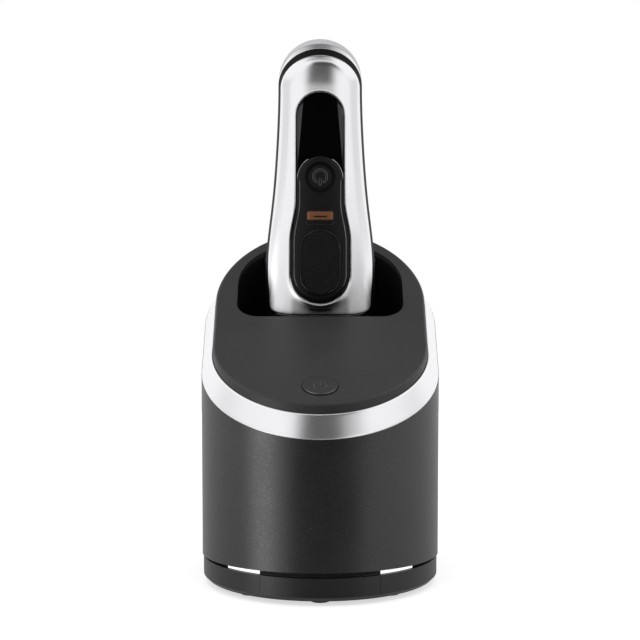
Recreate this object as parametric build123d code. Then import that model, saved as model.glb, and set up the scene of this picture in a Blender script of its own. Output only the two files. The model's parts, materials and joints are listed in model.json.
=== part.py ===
from build123d import *
import os
from math import cos, radians, sin, sqrt, tan

# Shaver cleaning station with the shaver docked head down.
# Millimetres, +Z up, front towards -Y, origin under the middle of the footprint on the standing surface.

# ---------------------------------------------------------------- station, outer form
body_width = 118.0          # side to side
body_depth = 158.0          # front to back; the plan is a long round with two half circles
top_slope = 22.2            # degrees, the flat front half of the sloping top
top_radius = 560.0          # hollow curve of the rear half of the top, seen from the side
housing_level = 105.0       # height of the housing's rim where the flat slope ends
ring_height = 9.5           # bevelled trim ring above that rim, measured on the wall
ring_inset = 4.9            # how far the ring leans in over its height, measured on the top
cover_rise = 4.5            # cover above the ring
cover_gap = 0.3             # shadow line between ring and cover
cover_edge = 1.2            # round on the cover's upper edge
cover_thickness = 2.4
housing_wall = 2.2
rim_flange = 6.4            # width of the inward flange that carries ring and cover

# ---------------------------------------------------------------- base and cartridge
foot_height = 2.0
foot_radius = 5.0
foot_inset = 12.0
foot_seat = 0.8             # depth of the pocket that holds a foot
foot_spread = 34.0
foot_bevel = 0.5
base_top = 13.5
base_inset = 0.6
base_wall = 2.2
base_floor = 2.5
base_bevel = 2.0
base_gap = 0.3              # housing above base where the two meet
front_lift = 2.4            # degrees, rise of the housing's lower edge towards the front
front_plate_half = 29.0     # half width of the plate let into the base's front wall
window_outer = 45.0         # the light windows run from beside that plate out to here
window_inset = 1.0
window_height = 10.0
window_line = 0.6           # dark line between a window and the base
plate_clearance = 0.15
cartridge_width = 72.0
cartridge_margin = 24.0     # the cartridge's ends from the station's ends
cartridge_height = 31.0
cartridge_corner = 9.0
cartridge_shift = 3.0       # towards the back
cartridge_wall = 1.6
cartridge_round = 2.0
port_gap = 1.0              # round the spout and the suction tube
lid_lip = 2.0
lid_bevel = 0.6
rail_height = 1.5
rail_width = 4.0
seat_overlap = 0.5          # how far a boss or rail runs into the floor it stands on
lid_thickness = 2.5
filter_height = 15.0
filter_length = 40.0
filter_gap = 4.0            # to the cartridge's side walls
filter_corner = 5.0

# ---------------------------------------------------------------- lift guides and latch
lift_travel = 45.0
column_x = 46.5
column_y = -4.0
column_radius = 4.0
column_head_radius = 6.2
column_head_height = 1.6
column_head_bevel = 0.5
column_spare = 0.3          # rod left above the bush with the housing lifted
column_boss_radius = 7.0
column_boss_height = 5.5
running_gap = 0.06          # radial clearance of a guide or shaft
bush_wall = 2.6
bush_length = 12.0
bush_flange = 1.6
bush_flange_width = 1.4
bush_drop = 1.0             # bush below the deck's underside
spring_wire = 1.2
spring_clearance = 0.9
spring_turns = 8
deck_level = 46.0
deck_thickness = 3.0
frame_wall = 2.2            # inner frame that hangs under the deck
fit_gap = 0.3               # housing wall to deck and inner frame
boss_radius = 4.0
boss_height = 13.0
boss_inset = 7.6
boss_angle = 30.0
boss_rib_half = 1.2
thread_gap = 0.05
screw_hole_gap = 0.1
pilot_rest = 2.0            # solid boss left above the screw's hole
screw_rest = 3.0
screw_radius = 1.3
screw_head_radius = 2.5
screw_head_height = 2.0
screw_head_round = 0.8
screw_slot = (3.0, 0.7, 1.6)
latch_margin = 15.0         # the hook's front face from the station's back
latch_thickness = 2.5
latch_width = 12.0
latch_nose = 0.7
latch_foot = 9.0            # height of the hook's lower end
catch_depth = 3.6
catch_lip = 2.6
catch_height = 7.0          # above the hook's lower end
catch_undercut = 1.2
hook_height = 3.5
latch_arm = 2.5             # half height of the arm behind the button
latch_side_gap = 0.6
latch_reach = 0.6           # the arm's end into the button's back
latch_rear_gap = 1.2
lift_button_level = 92.0
lift_button_width = 26.0
lift_button_height = 12.0
lift_button_depth = 4.0
lift_button_flange = 2.0
lift_button_press = 2.0
lift_button_flat = 0.5      # half height less corner radius
lift_button_sink = 0.2      # its face behind the housing's wall

# ---------------------------------------------------------------- dock
dock_half_width = 42.5
dock_margin = 17.0          # the recess's back from the station's back
dock_length = 57.5
dock_front_corner = 11.0
dock_back_corner = 30.0
dock_lip = 0.6              # cover edge over the liner's wall
liner_wall = 1.8
liner_floor = 110.0
liner_floor_thickness = 2.0
backrest_half = 31.2        # block on the recess's back wall, behind the docked shaver
backrest_depth = 6.6        # in front of the recess's back
backrest_low = 113.8
backrest_drop = 6.6         # its top below the cover beside it
backrest_round = 4.0
dish_half_width = 34.0
dish_front_gap = 0.7        # inside the recess's front and back
dish_back_gap = 7.0
dish_corner = 8.0
dish_floor = 94.0
dish_wall = 1.6
dish_flange = 0.6           # rim of the dish outside its cup
dish_rim = 1.2
dish_round = 4.0
spout_radius = 6.5
spout_bore = 5.0
spout_end = 34.0

# ---------------------------------------------------------------- pump, fan, boards, sockets
pump_x = -20.0
pump_y = -26.0
pump_radius = 14.0
pump_height = 11.0
pump_wall = 2.0
motor_radius = 11.0
motor_height = 24.0
shaft_radius = 1.5
blade_count = 6
tube_radius = 3.4
tube_bore = 2.4
tube_bend = 5.0             # middle line of a bend
suction_end = 13.0
tube_hole_gap = 0.2
tube_flange_width = 2.0
tube_flange_height = 1.5
tube_drop = 4.0             # middle of the supply tube below the recess's floor
outlet_reach = 3.0
pump_edge = 1.5
motor_edge = 1.0
motor_cap_radius = 3.5
motor_cap_height = 2.0
shaft_depth = 8.0           # bore in the motor's lower end
shaft_grip = 7.0            # shaft inside the motor
rotor_gap = 0.8
rotor_side_gap = 1.0
rotor_hub_radius = 3.5
rotor_disc = 1.2
blade_root = 3.0
blade_thickness = 1.2
fan_corner = 4.0
fan_rim = 1.5
fan_bar_width = 2.2
fan_bar_height = 1.2
fan_hub_radius = 7.0
fan_blade_root = 6.5
fan_tip_gap = 2.3
fan_pitch = 38.0
fan_low_gap = 1.6
fan_top_gap = 0.8
fan_bore_rest = 0.6
fan_screw_inset = 3.0
fan_screw_radius = 1.4
fan_x = 20.0
fan_size = 34.0
fan_height = 11.0
fan_blades = 7
board_width = 52.0
board_length = 20.0
board_margin = 25.0         # the board's middle from the station's front
board_thickness = 1.6
standoff = 6.0
standoff_radius = 2.4
standoff_side_inset = 4.0
standoff_end_inset = 3.0
board_corner = 2.0
transformer_x = (-22.0, -8.0)
transformer_half = 6.0
transformer_height = 9.0
capacitor_x = (0.0, 9.0)
capacitor_y = -2.0
capacitor_radius = 3.2
capacitor_height = 9.0
capacitor_edge = 0.6
chip_x = (15.0, 23.0)
chip_half = 4.0
chip_height = 1.5
plug_x = (-4.0, 6.0)
plug_y = (5.0, 9.0)
plug_height = 5.0
start_margin = 21.2         # the start button's middle from the station's front
start_hole_radius = 9.0
start_gap = 0.8
start_press = 0.8
start_flange = 1.2
start_stem = 1.1
start_board_depth = 8.0
start_board_width = 34.0
start_board_length = 16.0
start_post_gap = 5.0        # a screw post's middle from the button's hole
start_post_radius = 2.4
start_post_root = 0.3       # post into the cover's underside
start_flange_gap = 0.4
start_flange_width = 1.0
start_stem_radius = 2.0
start_stand = 0.15          # the button's face above the cover
start_edge = 0.5
switch_width = 6.0
switch_cap_radius = 1.6
switch_cap_height = 0.6
switch_stem_show = 0.5
switch_gap = 0.3
inlet_x = -22.0
inlet_level = 58.0
inlet_width = 13.4
inlet_height = 9.4
inlet_length = 15.0
inlet_margin = 8.5          # the socket's face from the station's back
inlet_cavity = 10.0
inlet_cavity_width = 8.6
inlet_cavity_height = 5.6
inlet_corner = 1.5
inlet_foot_half = 5.0
inlet_foot_rear = 5.0
inlet_pin_back = 3.0        # a pin's tail behind the socket
inlet_pin_depth = 2.0       # a pin's tip behind the socket's face
inlet_pin_round = 0.4
press_gap = 0.02
pin_radius = 0.9
pin_spacing = 4.4
contact_x = 20.5
contact_z = 50.0            # along the shaver, from the tip of its head
contact_radius = 1.5
contact_gap = 0.3
contact_sink = 1.0          # contact plates let into the shaver's back
contact_show = 0.05
contact_rim = 0.3
backrest_edge = 1.0
pin_boss_half = 4.0
pin_boss_width = 5.2
pin_reach = 1.5             # a charging pin beyond its boss
pin_clearance = 0.02

# ---------------------------------------------------------------- shaver, in its own frame
# x across, y front to back with the front at -y, z from the foils to the handle's end
shaver_lean = 7.0           # degrees, towards the back
shaver_back_gap = 34.0      # the standing shaver's foils from the recess's back
shaver_z = 103.0
handle_start = 22.0
handle_end_half = 21.6
handle_mid_half = 22.4
handle_mid_z = 115.6
handle_low_half = 25.2
handle_low_z = 79.7
handle_wide_half = 27.9
handle_wide_z = 55.2
handle_foot_half = 25.6
handle_corner = 5.0
front_bulge = 14.5
front_bulge_z = 85.0
front_bulge_radius = 1000.0
back_bulge = 16.5
back_bulge_z = 80.0
back_bulge_radius = 900.0
front_round = 6.0
back_round = 6.0
shell_wall = 2.6
band_front = -4.5
band_back = -1.5
frame_back = 3.0
cover_full = 8.0
silver_inset = 0.75
cover_inward = 0.1          # the back cover's outline inside the widest one
# each layer's round end is half an ellipse: height of its middle and its rise above that
front_end = (141.0, 18.1)
band_end = (142.5, 19.5)
frame_end = (144.5, 20.6)
back_end = (146.4, 21.6)
inner_end = (141.0, 14.0)

panel_half = 12.5
panel_wide_half = 15.3
panel_top = 138.2
panel_bottom = 30.7
panel_taper_top = 82.0
panel_taper_low = 62.0
panel_clearance = 0.15
panel_sink = 1.4
panel_thickness = 2.0
display_low = 100.0
display_margin = 0.5
display_sink = 0.9
strip_margin = 1.0
strip_top = 105.7
strip_rise = 0.3
grip_half = 10.9
grip_low = 33.9
grip_high = 68.4
grip_rise = 0.9
power_z = 94.9
power_radius = 8.0
power_gap = 0.3
power_rise = 0.6
power_press = 0.8
slider_z = 75.0
slider_width = 13.2
slider_height = 4.6
slider_rise = 0.7
slider_travel = 2.0
slider_gap = 0.2
slider_side_gap = 0.3
slot_corner = 0.8
slider_corner = 0.7
grip_gap = 0.1
key_gap = 0.3               # under the keys
display_gap = 0.25

head_half = 29.5
head_half_depth = 15.0
head_low = 2.0
head_high = 17.0
head_wall = 2.0
head_corner = 7.0
head_pivot_z = 14.5
pivot_radius = 2.0
neck_half = 19.0
neck_half_depth = 8.0
neck_corner = 4.0
neck_low = 4.5              # neck above the head's pivot
ear_width = 3.0
ear_radius = 3.0
foil_radius = 5.2
foil_wall = 0.4
foil_end_gap = 6.5          # the foils' ends from the head's ends
foil_y = 6.4
cutter_gap = 0.3
cassette_low = 4.6
cassette_high = 10.5
float_travel = 1.5
float_gap = 0.3
stop_half = 6.0
stop_depth = 4.2
stop_height = 1.2
head_edge = 1.5
cassette_side = 3.4         # cassette frame beside the foils
trimmer_bar_gap = 0.25
trimmer_bar_low = 1.0
cutter_end_gap = 2.0
cutter_half = 12.0
cutter_stem_half = 2.5
cutter_link = 0.6
release_z = 9.0
release_width = 10.0
release_height = 7.0
release_rise = 0.8
release_gap = 0.3
release_root = 0.6          # button inside the head's wall
release_edge = 0.4
release_room = 1.9          # cassette cut back beside the button
trimmer_half = 14.5
trimmer_low = 28.0
trimmer_high = 44.0
trimmer_thickness = 2.6
trimmer_gap = 0.4
trimmer_tooth = 1.0
trimmer_teeth = 12
trimmer_tooth_length = 1.6
trimmer_corner = 3.0
thumb_half = 5.0
thumb_high = 4.0            # thumb rib below the trimmer's upper edge
thumb_height = 5.0
thumb_rise = 0.8
rail_gap = 0.4
rail_side = 2.4
back_pad_low = 0.5          # pad and rails above the handle's foot
back_pad_depth = 4.0
back_pad_high = 62.0
shaver_motor_half = 13.0
shaver_motor_depth = 16.0
shaver_motor_length = 28.0
cell_board_half = 10.5
cell_board_y = -10.2
cell_board_thickness = 1.2
cell_board_low = 60.0
cell_board_high = 122.0
battery_radius = 7.0
battery_length = 50.0
battery_z = 108.0

# ---------------------------------------------------------------- worked out from the sizes above
body_radius = body_width / 2
arc_y = (body_depth - body_width) / 2
reach = body_depth
half_depth = body_depth / 2
cartridge_length = body_depth - 2 * cartridge_margin
latch_y = half_depth - latch_margin
inlet_face = half_depth - inlet_margin
start_y = start_margin - half_depth
board_y = board_margin - half_depth
dock_back = half_depth - dock_margin
dock_front = dock_back - dock_length
dish_front = dock_front + dish_front_gap
dish_back = dock_back - dish_back_gap
backrest_front = dock_back - backrest_depth
shaver_y = dock_back - shaver_back_gap
spout_y = shaver_y
foil_half_length = head_half - foil_end_gap
ring_level = housing_level + ring_height
cover_level = ring_level + cover_rise
flange_level = housing_level - cover_thickness
ring_bore = ring_inset + 0.4
cover_inset = ring_bore + cover_gap
housing_low = base_top + base_gap
frame_low = housing_low + 0.1
floor_top = foot_height + base_floor
cartridge_low = floor_top + rail_height
lid_low = cartridge_low + cartridge_height
deck_top = deck_level + deck_thickness
bush_radius = column_radius + running_gap + bush_wall
bush_low = deck_level - bush_drop
bush_high = bush_low + bush_length
column_top = bush_high + lift_travel + column_spare
column_foot = floor_top
boss_top = floor_top + column_boss_height
shaver_tilt = radians(shaver_lean)


def long_round(inset):
    """Plan of the station, drawn in from its outer wall by inset."""
    return SlotOverall(body_depth - 2 * inset, body_width - 2 * inset, rotation=90)


def plan_block(inset, low, high):
    return Pos(0, 0, low) * extrude(long_round(inset), high - low)


def top_height(y, level):
    """Height of the sloping top at y, for a surface that passes through level at the slope's end."""
    slope = radians(top_slope)
    if y <= -arc_y:
        return level + (y + arc_y) * tan(slope)
    centre_y = -arc_y - top_radius * sin(slope)
    centre_z = level + top_radius * cos(slope)
    return centre_z - sqrt(top_radius ** 2 - (y - centre_y) ** 2)


def under_top(level):
    """Everything below the sloping top surface at a level."""
    middle = (reach - arc_y) / 2
    curve = ThreePointArc(
        (-arc_y, level), (middle, top_height(middle, level)), (reach, top_height(reach, level))
    )
    straight = Polyline(
        (reach, top_height(reach, level)), (reach, -reach), (-reach, -reach),
        (-reach, top_height(-reach, level)), (-arc_y, level),
    )
    return extrude(Plane.YZ * make_face(curve + straight), reach, both=True)


def rim_edge(block, low):
    """The front stretch of a block's sloping outer edge; a round or bevel follows it all the way."""
    rim = [e for e in block.edges() if e.bounding_box().min.Z > low + 1 and e.bounding_box().size.Y > 0.01]
    return min(rim, key=lambda e: e.center().Y)


def front_wall(block):
    walls = [f for f in block.faces() if f.geom_type == GeomType.CYLINDER and f.bounding_box().size.X > 50]
    return min(walls, key=lambda f: f.center().Y)


def box_between(x_range, y_range, z_range):
    size = [abs(r[1] - r[0]) for r in (x_range, y_range, z_range)]
    middle = [(r[0] + r[1]) / 2 for r in (x_range, y_range, z_range)]
    return Pos(*middle) * Box(*size)


def post(x, y, radius, low, high):
    return Pos(x, y, (low + high) / 2) * Cylinder(radius, high - low)


# ---------------------------------------------------------------- base
def foot_places():
    side_y = arc_y + sqrt((body_radius - foot_inset) ** 2 - foot_spread ** 2)
    end_y = arc_y + body_radius - foot_inset
    front = [(-foot_spread, side_y), (0, end_y), (foot_spread, side_y)]
    return [(x, end * y) for end in (-1, 1) for x, y in front]


def rubber_feet():
    feet = []
    for x, y in foot_places():
        foot = post(x, y, foot_radius, 0, foot_height + foot_seat)
        feet.append(chamfer(foot.edges().group_by(Axis.Z)[0], foot_bevel))
    return feet


def base_tray():
    tray = plan_block(base_inset, foot_height, base_top)
    low_edges = tray.edges().group_by(Axis.Z)[0]
    tray = chamfer(low_edges, base_bevel)
    tray -= plan_block(base_inset + base_wall, floor_top, base_top + 1)
    notch = front_plate_half + plate_clearance
    tray -= box_between((-notch, notch), (-body_depth, -arc_y - body_radius / 2), (floor_top, base_top + 1))
    for x, y in foot_places():
        tray -= post(x, y, foot_radius + plate_clearance, 0, foot_height + foot_seat)
    for side in (-1, 1):
        tray += post(side * column_x, column_y, column_boss_radius, floor_top - seat_overlap, boss_top)
        tray -= post(side * column_x, column_y, column_radius + running_gap, column_foot, boss_top + 1)
        rail_x = side * (cartridge_width / 2 - cartridge_corner)
        rail_y = cartridge_length / 2 - cartridge_corner
        tray += box_between(
            (rail_x - rail_width / 2, rail_x + rail_width / 2),
            (cartridge_shift - rail_y, cartridge_shift + rail_y), (floor_top - seat_overlap, cartridge_low),
        )
    catch_y = latch_y + latch_thickness + latch_nose + fit_gap
    half = latch_width / 2
    top = latch_foot + catch_height
    tray += box_between((-half, half), (catch_y + catch_undercut, catch_y + catch_depth),
                        (floor_top - seat_overlap, top))
    tray += box_between((-half, half), (catch_y, catch_y + catch_depth), (top - catch_lip, top))
    return tray


def base_front_plate():
    ring = plan_block(base_inset, floor_top, base_top) - plan_block(base_inset + base_wall, 0, base_top + 1)
    half = front_plate_half
    return ring & box_between((-half, half), (-body_depth, -arc_y - body_radius / 2), (floor_top, base_top))


def guide_columns():
    columns = []
    for side in (-1, 1):
        rod = post(side * column_x, column_y, column_radius, column_foot, column_top)
        head_top = column_top + column_head_height
        head = post(side * column_x, column_y, column_head_radius, column_top, head_top)
        columns.append(rod + chamfer(head.edges().group_by(Axis.Z)[-1], column_head_bevel))
    return columns


def lift_springs():
    radius = column_radius + spring_clearance + spring_wire / 2
    length = bush_low - boss_top - spring_wire
    path = Helix(pitch=length / spring_turns, height=length, radius=radius)
    section = Plane(origin=path @ 0, z_dir=path % 0) * Circle(spring_wire / 2)
    coil = sweep(section, path=path)
    return [Pos(side * column_x, column_y, boss_top + spring_wire / 2) * coil for side in (-1, 1)]


def cartridge_block(inset, low, high):
    outline = RectangleRounded(
        cartridge_width - 2 * inset, cartridge_length - 2 * inset, cartridge_corner - inset
    )
    return Pos(0, cartridge_shift, low) * extrude(outline, high - low)


def cartridge_tank():
    tank = cartridge_block(0, cartridge_low, lid_low)
    tank = fillet(tank.edges().group_by(Axis.Z)[0], cartridge_round)
    return tank - cartridge_block(cartridge_wall, cartridge_low + cartridge_wall, lid_low + 1)


def cartridge_lid():
    lid = cartridge_block(0, lid_low, lid_low + lid_thickness)
    lid = chamfer(lid.edges().group_by(Axis.Z)[-1], lid_bevel)
    lip_low = lid_low - lid_lip
    lip = cartridge_block(cartridge_wall + plate_clearance, lip_low, lid_low)
    lid += lip - cartridge_block(2 * cartridge_wall + plate_clearance, lip_low, lid_low)
    lid -= post(0, spout_y, spout_radius + port_gap, lip_low - 1, lid_low + lid_thickness + 1)
    lid -= post(pump_x, pump_y, tube_radius + port_gap, lip_low - 1, lid_low + lid_thickness + 1)
    return lid


def cartridge_filter():
    half = cartridge_width / 2 - cartridge_wall - filter_gap
    low = cartridge_low + cartridge_wall
    block = box_between((-half, half), (spout_y - filter_length / 2, spout_y + filter_length / 2),
                        (low, low + filter_height))
    return fillet(block.edges().filter_by(Axis.Z), filter_corner)


# ---------------------------------------------------------------- housing
def above_lower_edge(shift):
    """Everything above the housing's lower edge, which rises towards the front."""
    rise = (reach - arc_y) * tan(radians(front_lift))
    low = housing_low + shift
    line = Polyline((reach, low), (-arc_y, low), (-reach, low + rise), (-reach, reach * 2),
                    (reach, reach * 2), (reach, low))
    return extrude(Plane.YZ * make_face(line), reach, both=True)


def boss_places():
    radius = body_radius - boss_inset
    x = radius * cos(radians(boss_angle))
    y = arc_y + radius * sin(radians(boss_angle))
    return [(side * x, end * y) for side in (-1, 1) for end in (-1, 1)]


def inlet_outline(grow):
    return RectangleRounded(inlet_width + 2 * grow, inlet_height + 2 * grow, inlet_corner + grow)


def along_y(outline, x, level, start, end):
    """A flat outline at x and level, pushed from start to end along Y."""
    return Pos(x, end, level) * extrude(Plane.XZ * outline, end - start)


def housing_shell():
    shell = plan_block(0, housing_low - 5, reach + 40) & under_top(housing_level)
    shell &= above_lower_edge(0)
    shell -= plan_block(housing_wall, 0, reach + 40) & under_top(flange_level)
    shell -= plan_block(housing_wall + rim_flange, 0, reach + 40)
    for x, y in boss_places():
        boss = post(x, y, boss_radius, deck_top, deck_top + boss_height)
        sign = 1 if x > 0 else -1
        rib_end = sign * (body_radius - housing_wall / 2) * cos(radians(boss_angle / 2))
        rib = box_between((x, rib_end), (y - boss_rib_half, y + boss_rib_half),
                          (deck_top, deck_top + boss_height))
        boss += rib & plan_block(housing_wall / 2, 0, reach)
        shell += boss
        shell -= post(x, y, screw_radius + thread_gap, deck_top - 1, deck_top + boss_height - pilot_rest)
    corner = lift_button_height / 2 - lift_button_flat
    button = RectangleRounded(lift_button_width, lift_button_height, corner)
    shell -= along_y(button, 0, lift_button_level, arc_y + body_radius / 2, body_depth)
    shell -= along_y(inlet_outline(fit_gap), inlet_x, inlet_level, arc_y + body_radius / 2, body_depth)
    return shell


def ring_trim():
    low = housing_level - 2 * body_radius * tan(radians(top_slope))
    block = plan_block(0, low, reach * 2) & under_top(ring_level)
    block = chamfer(rim_edge(block, low), ring_height, ring_inset, reference=front_wall(block))
    return block - under_top(housing_level) - plan_block(ring_bore, 0, reach * 2)


def dock_outline(grow):
    half = dock_half_width + grow
    front = dock_front - grow
    back = dock_back + grow
    outline = make_face(Polyline((-half, front), (half, front), (half, back), (-half, back), (-half, front)))
    corners = outline.vertices().sort_by(Axis.Y)
    outline = fillet(corners[:2], dock_front_corner + grow)
    corners = outline.vertices().sort_by(Axis.Y)
    return fillet(corners[-2:], dock_back_corner + grow)


def dock_block(grow, low, high):
    return Pos(0, 0, low) * extrude(dock_outline(grow), high - low)


def start_plane():
    """The cover's surface at the start button: z is the outward normal."""
    slope = radians(top_slope)
    return Plane(
        origin=(0, start_y, top_height(start_y, cover_level)), x_dir=(1, 0, 0),
        z_dir=(0, -sin(slope), cos(slope)),
    )


def disc(radius, low, high):
    return Pos(0, 0, (low + high) / 2) * Cylinder(radius, high - low)


def top_cover():
    low = housing_level - 2 * body_radius * tan(radians(top_slope))
    cover = plan_block(cover_inset, low, reach * 2) & under_top(cover_level)
    cover = fillet(rim_edge(cover, low), cover_edge)
    inside = plan_block(cover_inset + housing_wall, low - 1, reach * 2)
    cover -= inside & under_top(cover_level - cover_thickness)
    cover -= under_top(housing_level)
    cover -= dock_block(0, 0, reach * 2)
    underside = cover_thickness * cos(radians(top_slope))
    for side in (-1, 1):
        screw_post = disc(start_post_radius, -start_board_depth, start_post_root - underside)
        cover += start_plane() * Pos(side * (start_hole_radius + start_post_gap), 0, 0) * screw_post
    return cover - start_plane() * disc(start_hole_radius, -underside - 2, 5)


def inner_frame():
    inset = housing_wall + fit_gap
    frame = plan_block(inset, frame_low, deck_level) - plan_block(inset + frame_wall, 0, deck_level + 1)
    for x_range in window_ranges():
        frame -= box_between(x_range, (-body_depth, -arc_y), (0, frame_low + window_height + plate_clearance))
    return frame


def window_ranges():
    low, high = front_plate_half, window_outer
    return [(-high, -low), (low, high)]


def light_windows():
    low = base_top + window_line
    windows = []
    for start, end in window_ranges():
        x_range = (start + plate_clearance, end - plate_clearance)
        zone = box_between(x_range, (-body_depth, -arc_y), (0, reach))
        inner_inset = housing_wall + fit_gap
        outer = plan_block(window_inset, low, low + window_height) - plan_block(inner_inset, 0, reach)
        outer -= above_lower_edge(-0.1)
        inner = plan_block(inner_inset, low, frame_low + window_height)
        inner -= plan_block(inner_inset + frame_wall, 0, reach)
        windows.append((outer + inner) & zone)
    return windows


def chassis_deck():
    deck = plan_block(housing_wall + fit_gap, deck_level, deck_top)
    for side in (-1, 1):
        deck -= post(side * column_x, column_y, bush_radius + plate_clearance, 0, reach)
    for x, y in boss_places():
        deck -= post(x, y, screw_radius + screw_hole_gap, 0, reach)
    deck -= post(0, spout_y, spout_radius + port_gap, 0, reach)
    deck -= post(pump_x, pump_y, tube_radius + tube_hole_gap, 0, reach)
    half = latch_width / 2 + latch_side_gap
    slot_front = latch_y - lift_button_press - latch_side_gap
    slot_back = latch_y + latch_thickness + latch_rear_gap
    deck -= box_between((-half, half), (slot_front, slot_back), (0, reach))
    x = board_width / 2 - standoff_side_inset
    y = board_length / 2 - standoff_end_inset
    for side in (-1, 1):
        for end in (-1, 1):
            deck += post(side * x, board_y + end * y, standoff_radius,
                         deck_top - seat_overlap, deck_top + standoff)
    return deck


def guide_bushes():
    bushes = []
    for side in (-1, 1):
        x = side * column_x
        bush = post(x, column_y, bush_radius, bush_low, bush_high)
        bush += post(x, column_y, bush_radius + bush_flange_width, deck_top, deck_top + bush_flange)
        bushes.append(bush - post(x, column_y, column_radius + running_gap, 0, reach))
    return bushes


def chassis_screws():
    screws = []
    for x, y in boss_places():
        head = post(x, y, screw_head_radius, deck_level - screw_head_height, deck_level)
        head = fillet(head.edges().group_by(Axis.Z)[0], screw_head_round)
        long, narrow, deep = screw_slot
        head -= Pos(x, y, deck_level - screw_head_height) * Box(long, narrow, deep)
        head -= Pos(x, y, deck_level - screw_head_height) * Box(narrow, long, deep)
        screws.append(head + post(x, y, screw_radius, deck_level, deck_top + boss_height - screw_rest))
    return screws


def dock_liner():
    top = cover_level - cover_thickness
    liner = dock_block(dock_lip + liner_wall, liner_floor, reach * 2) & under_top(top)
    liner -= dock_block(dock_lip, liner_floor + liner_floor_thickness, reach * 2)
    liner -= dish_block(0, 0, reach)
    for side in (-1, 1):
        liner -= along_y(Circle(contact_radius + pin_clearance), side * contact_x, contact_level(),
                         backrest_front, body_depth)
    return liner


def dish_block(inset, low, high):
    width = 2 * (dish_half_width - inset)
    length = dish_back - dish_front - 2 * inset
    outline = RectangleRounded(width, length, dish_corner - inset)
    return Pos(0, (dish_front + dish_back) / 2, low) * extrude(outline, high - low)


def cleaning_dish():
    shelf = liner_floor + liner_floor_thickness
    dish = dish_block(fit_gap, dish_floor, shelf)
    dish = fillet(dish.edges().group_by(Axis.Z)[0], dish_round)
    dish += dish_block(-dish_flange, shelf, shelf + dish_rim)
    dish -= dish_block(fit_gap + dish_wall, dish_floor + dish_wall, reach)
    dish += post(0, spout_y, spout_radius, spout_end, dish_floor + seat_overlap)
    return dish - post(0, spout_y, spout_bore, spout_end - 1, dish_floor + dish_wall + 1)


def contact_level():
    """Height of the shaver's charging contacts when it stands in the dock."""
    return shaver_z + contact_z * cos(shaver_tilt) - back_bulge * sin(shaver_tilt)


def contact_tip_y():
    """Where a charging pin ends: a small gap behind the leaning back of the shaver."""
    back = back_bulge / cos(shaver_tilt)
    level = contact_level() + pin_boss_half - shaver_z
    return shaver_y + back + level * tan(shaver_tilt) + contact_gap


def backrest_top():
    return top_height(dock_back, cover_level) - backrest_drop


def dock_backrest():
    high = backrest_top()
    rest = box_between((-backrest_half, backrest_half), (backrest_front, body_depth), (backrest_low, high))
    rest = fillet(rest.edges().filter_by(Axis.Z).group_by(Axis.Y)[0], backrest_round)
    rest = fillet(rest.edges().group_by(Axis.Z)[-1].group_by(Axis.Y)[0], backrest_edge)
    for side in (-1, 1):
        x = side * contact_x
        boss = box_between((x - pin_boss_width / 2, x + pin_boss_width / 2),
                           (contact_tip_y() + pin_reach, backrest_front + backrest_edge + seat_overlap),
                           (contact_level() - pin_boss_half, high - backrest_edge))
        rest += fillet(boss.edges().filter_by(Axis.Z).group_by(Axis.Y)[0], backrest_edge)
        rest -= along_y(Circle(contact_radius + pin_clearance), x, contact_level(), 0, reach)
    return rest & dock_block(dock_lip, 0, reach * 2)


def charge_pins():
    pins = []
    for side in (-1, 1):
        pin = along_y(Circle(contact_radius), side * contact_x, contact_level(), contact_tip_y(),
                      dock_back + dock_lip + liner_wall)
        pins.append(fillet(pin.edges().group_by(Axis.Y)[0], contact_radius / 2))
    return pins


# ---------------------------------------------------------------- pump and fan
def pump_housing():
    top = deck_top + pump_height
    body = post(pump_x, pump_y, pump_radius, deck_top, top)
    body = fillet(body.edges().group_by(Axis.Z)[-1], pump_edge)
    body += along_y(Circle(tube_radius), pump_x, deck_top + pump_height / 2, pump_y, outlet_y())
    body -= post(pump_x, pump_y, pump_radius - pump_wall, deck_top + pump_wall, top - pump_wall)
    body -= post(pump_x, pump_y, tube_bore, 0, deck_top + pump_wall + 1)
    body -= post(pump_x, pump_y, shaft_radius + running_gap, deck_top + pump_wall, top + 1)
    return body - along_y(Circle(tube_bore), pump_x, deck_top + pump_height / 2, pump_y + 5, outlet_y() + 1)


def outlet_y():
    return pump_y + pump_radius + outlet_reach


def pump_motor():
    low = deck_top + pump_height
    high = low + motor_height
    body = post(pump_x, pump_y, motor_radius, low, high)
    body = chamfer(body.edges().group_by(Axis.Z)[-1], motor_edge)
    body += post(pump_x, pump_y, motor_cap_radius, high - seat_overlap, high + motor_cap_height)
    return body - post(pump_x, pump_y, shaft_radius + running_gap, low - 1, low + shaft_depth)


def turned_blades(count, inner, outer, low, high, thickness, pitch):
    blades = []
    for number in range(count):
        blade = Pos((inner + outer) / 2, 0, (low + high) / 2) * Rot(pitch, 0, 0) * Box(
            outer - inner, thickness, (high - low) * 0.9)
        blades.append(Rot(0, 0, 360 * number / count) * blade)
    return blades


def pump_rotor():
    low = deck_top + pump_wall + rotor_gap
    top = deck_top + pump_height - pump_wall
    outer = pump_radius - pump_wall - rotor_side_gap
    rotor = disc(outer, low, low + rotor_disc) + disc(rotor_hub_radius, low, top - rotor_gap)
    for blade in turned_blades(blade_count, blade_root, outer, low + 1.0, top - 0.6, blade_thickness, 0):
        rotor += blade
    rotor += disc(shaft_radius, low, deck_top + pump_height + shaft_grip)
    return Pos(pump_x, pump_y, 0) * rotor


def suction_tube():
    low, high = suction_end, deck_top
    tube = post(pump_x, pump_y, tube_radius, low, high)
    tube += post(pump_x, pump_y, tube_radius + tube_flange_width, deck_level - tube_flange_height, deck_level)
    return tube - post(pump_x, pump_y, tube_bore, low - 1, high + 1)


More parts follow.
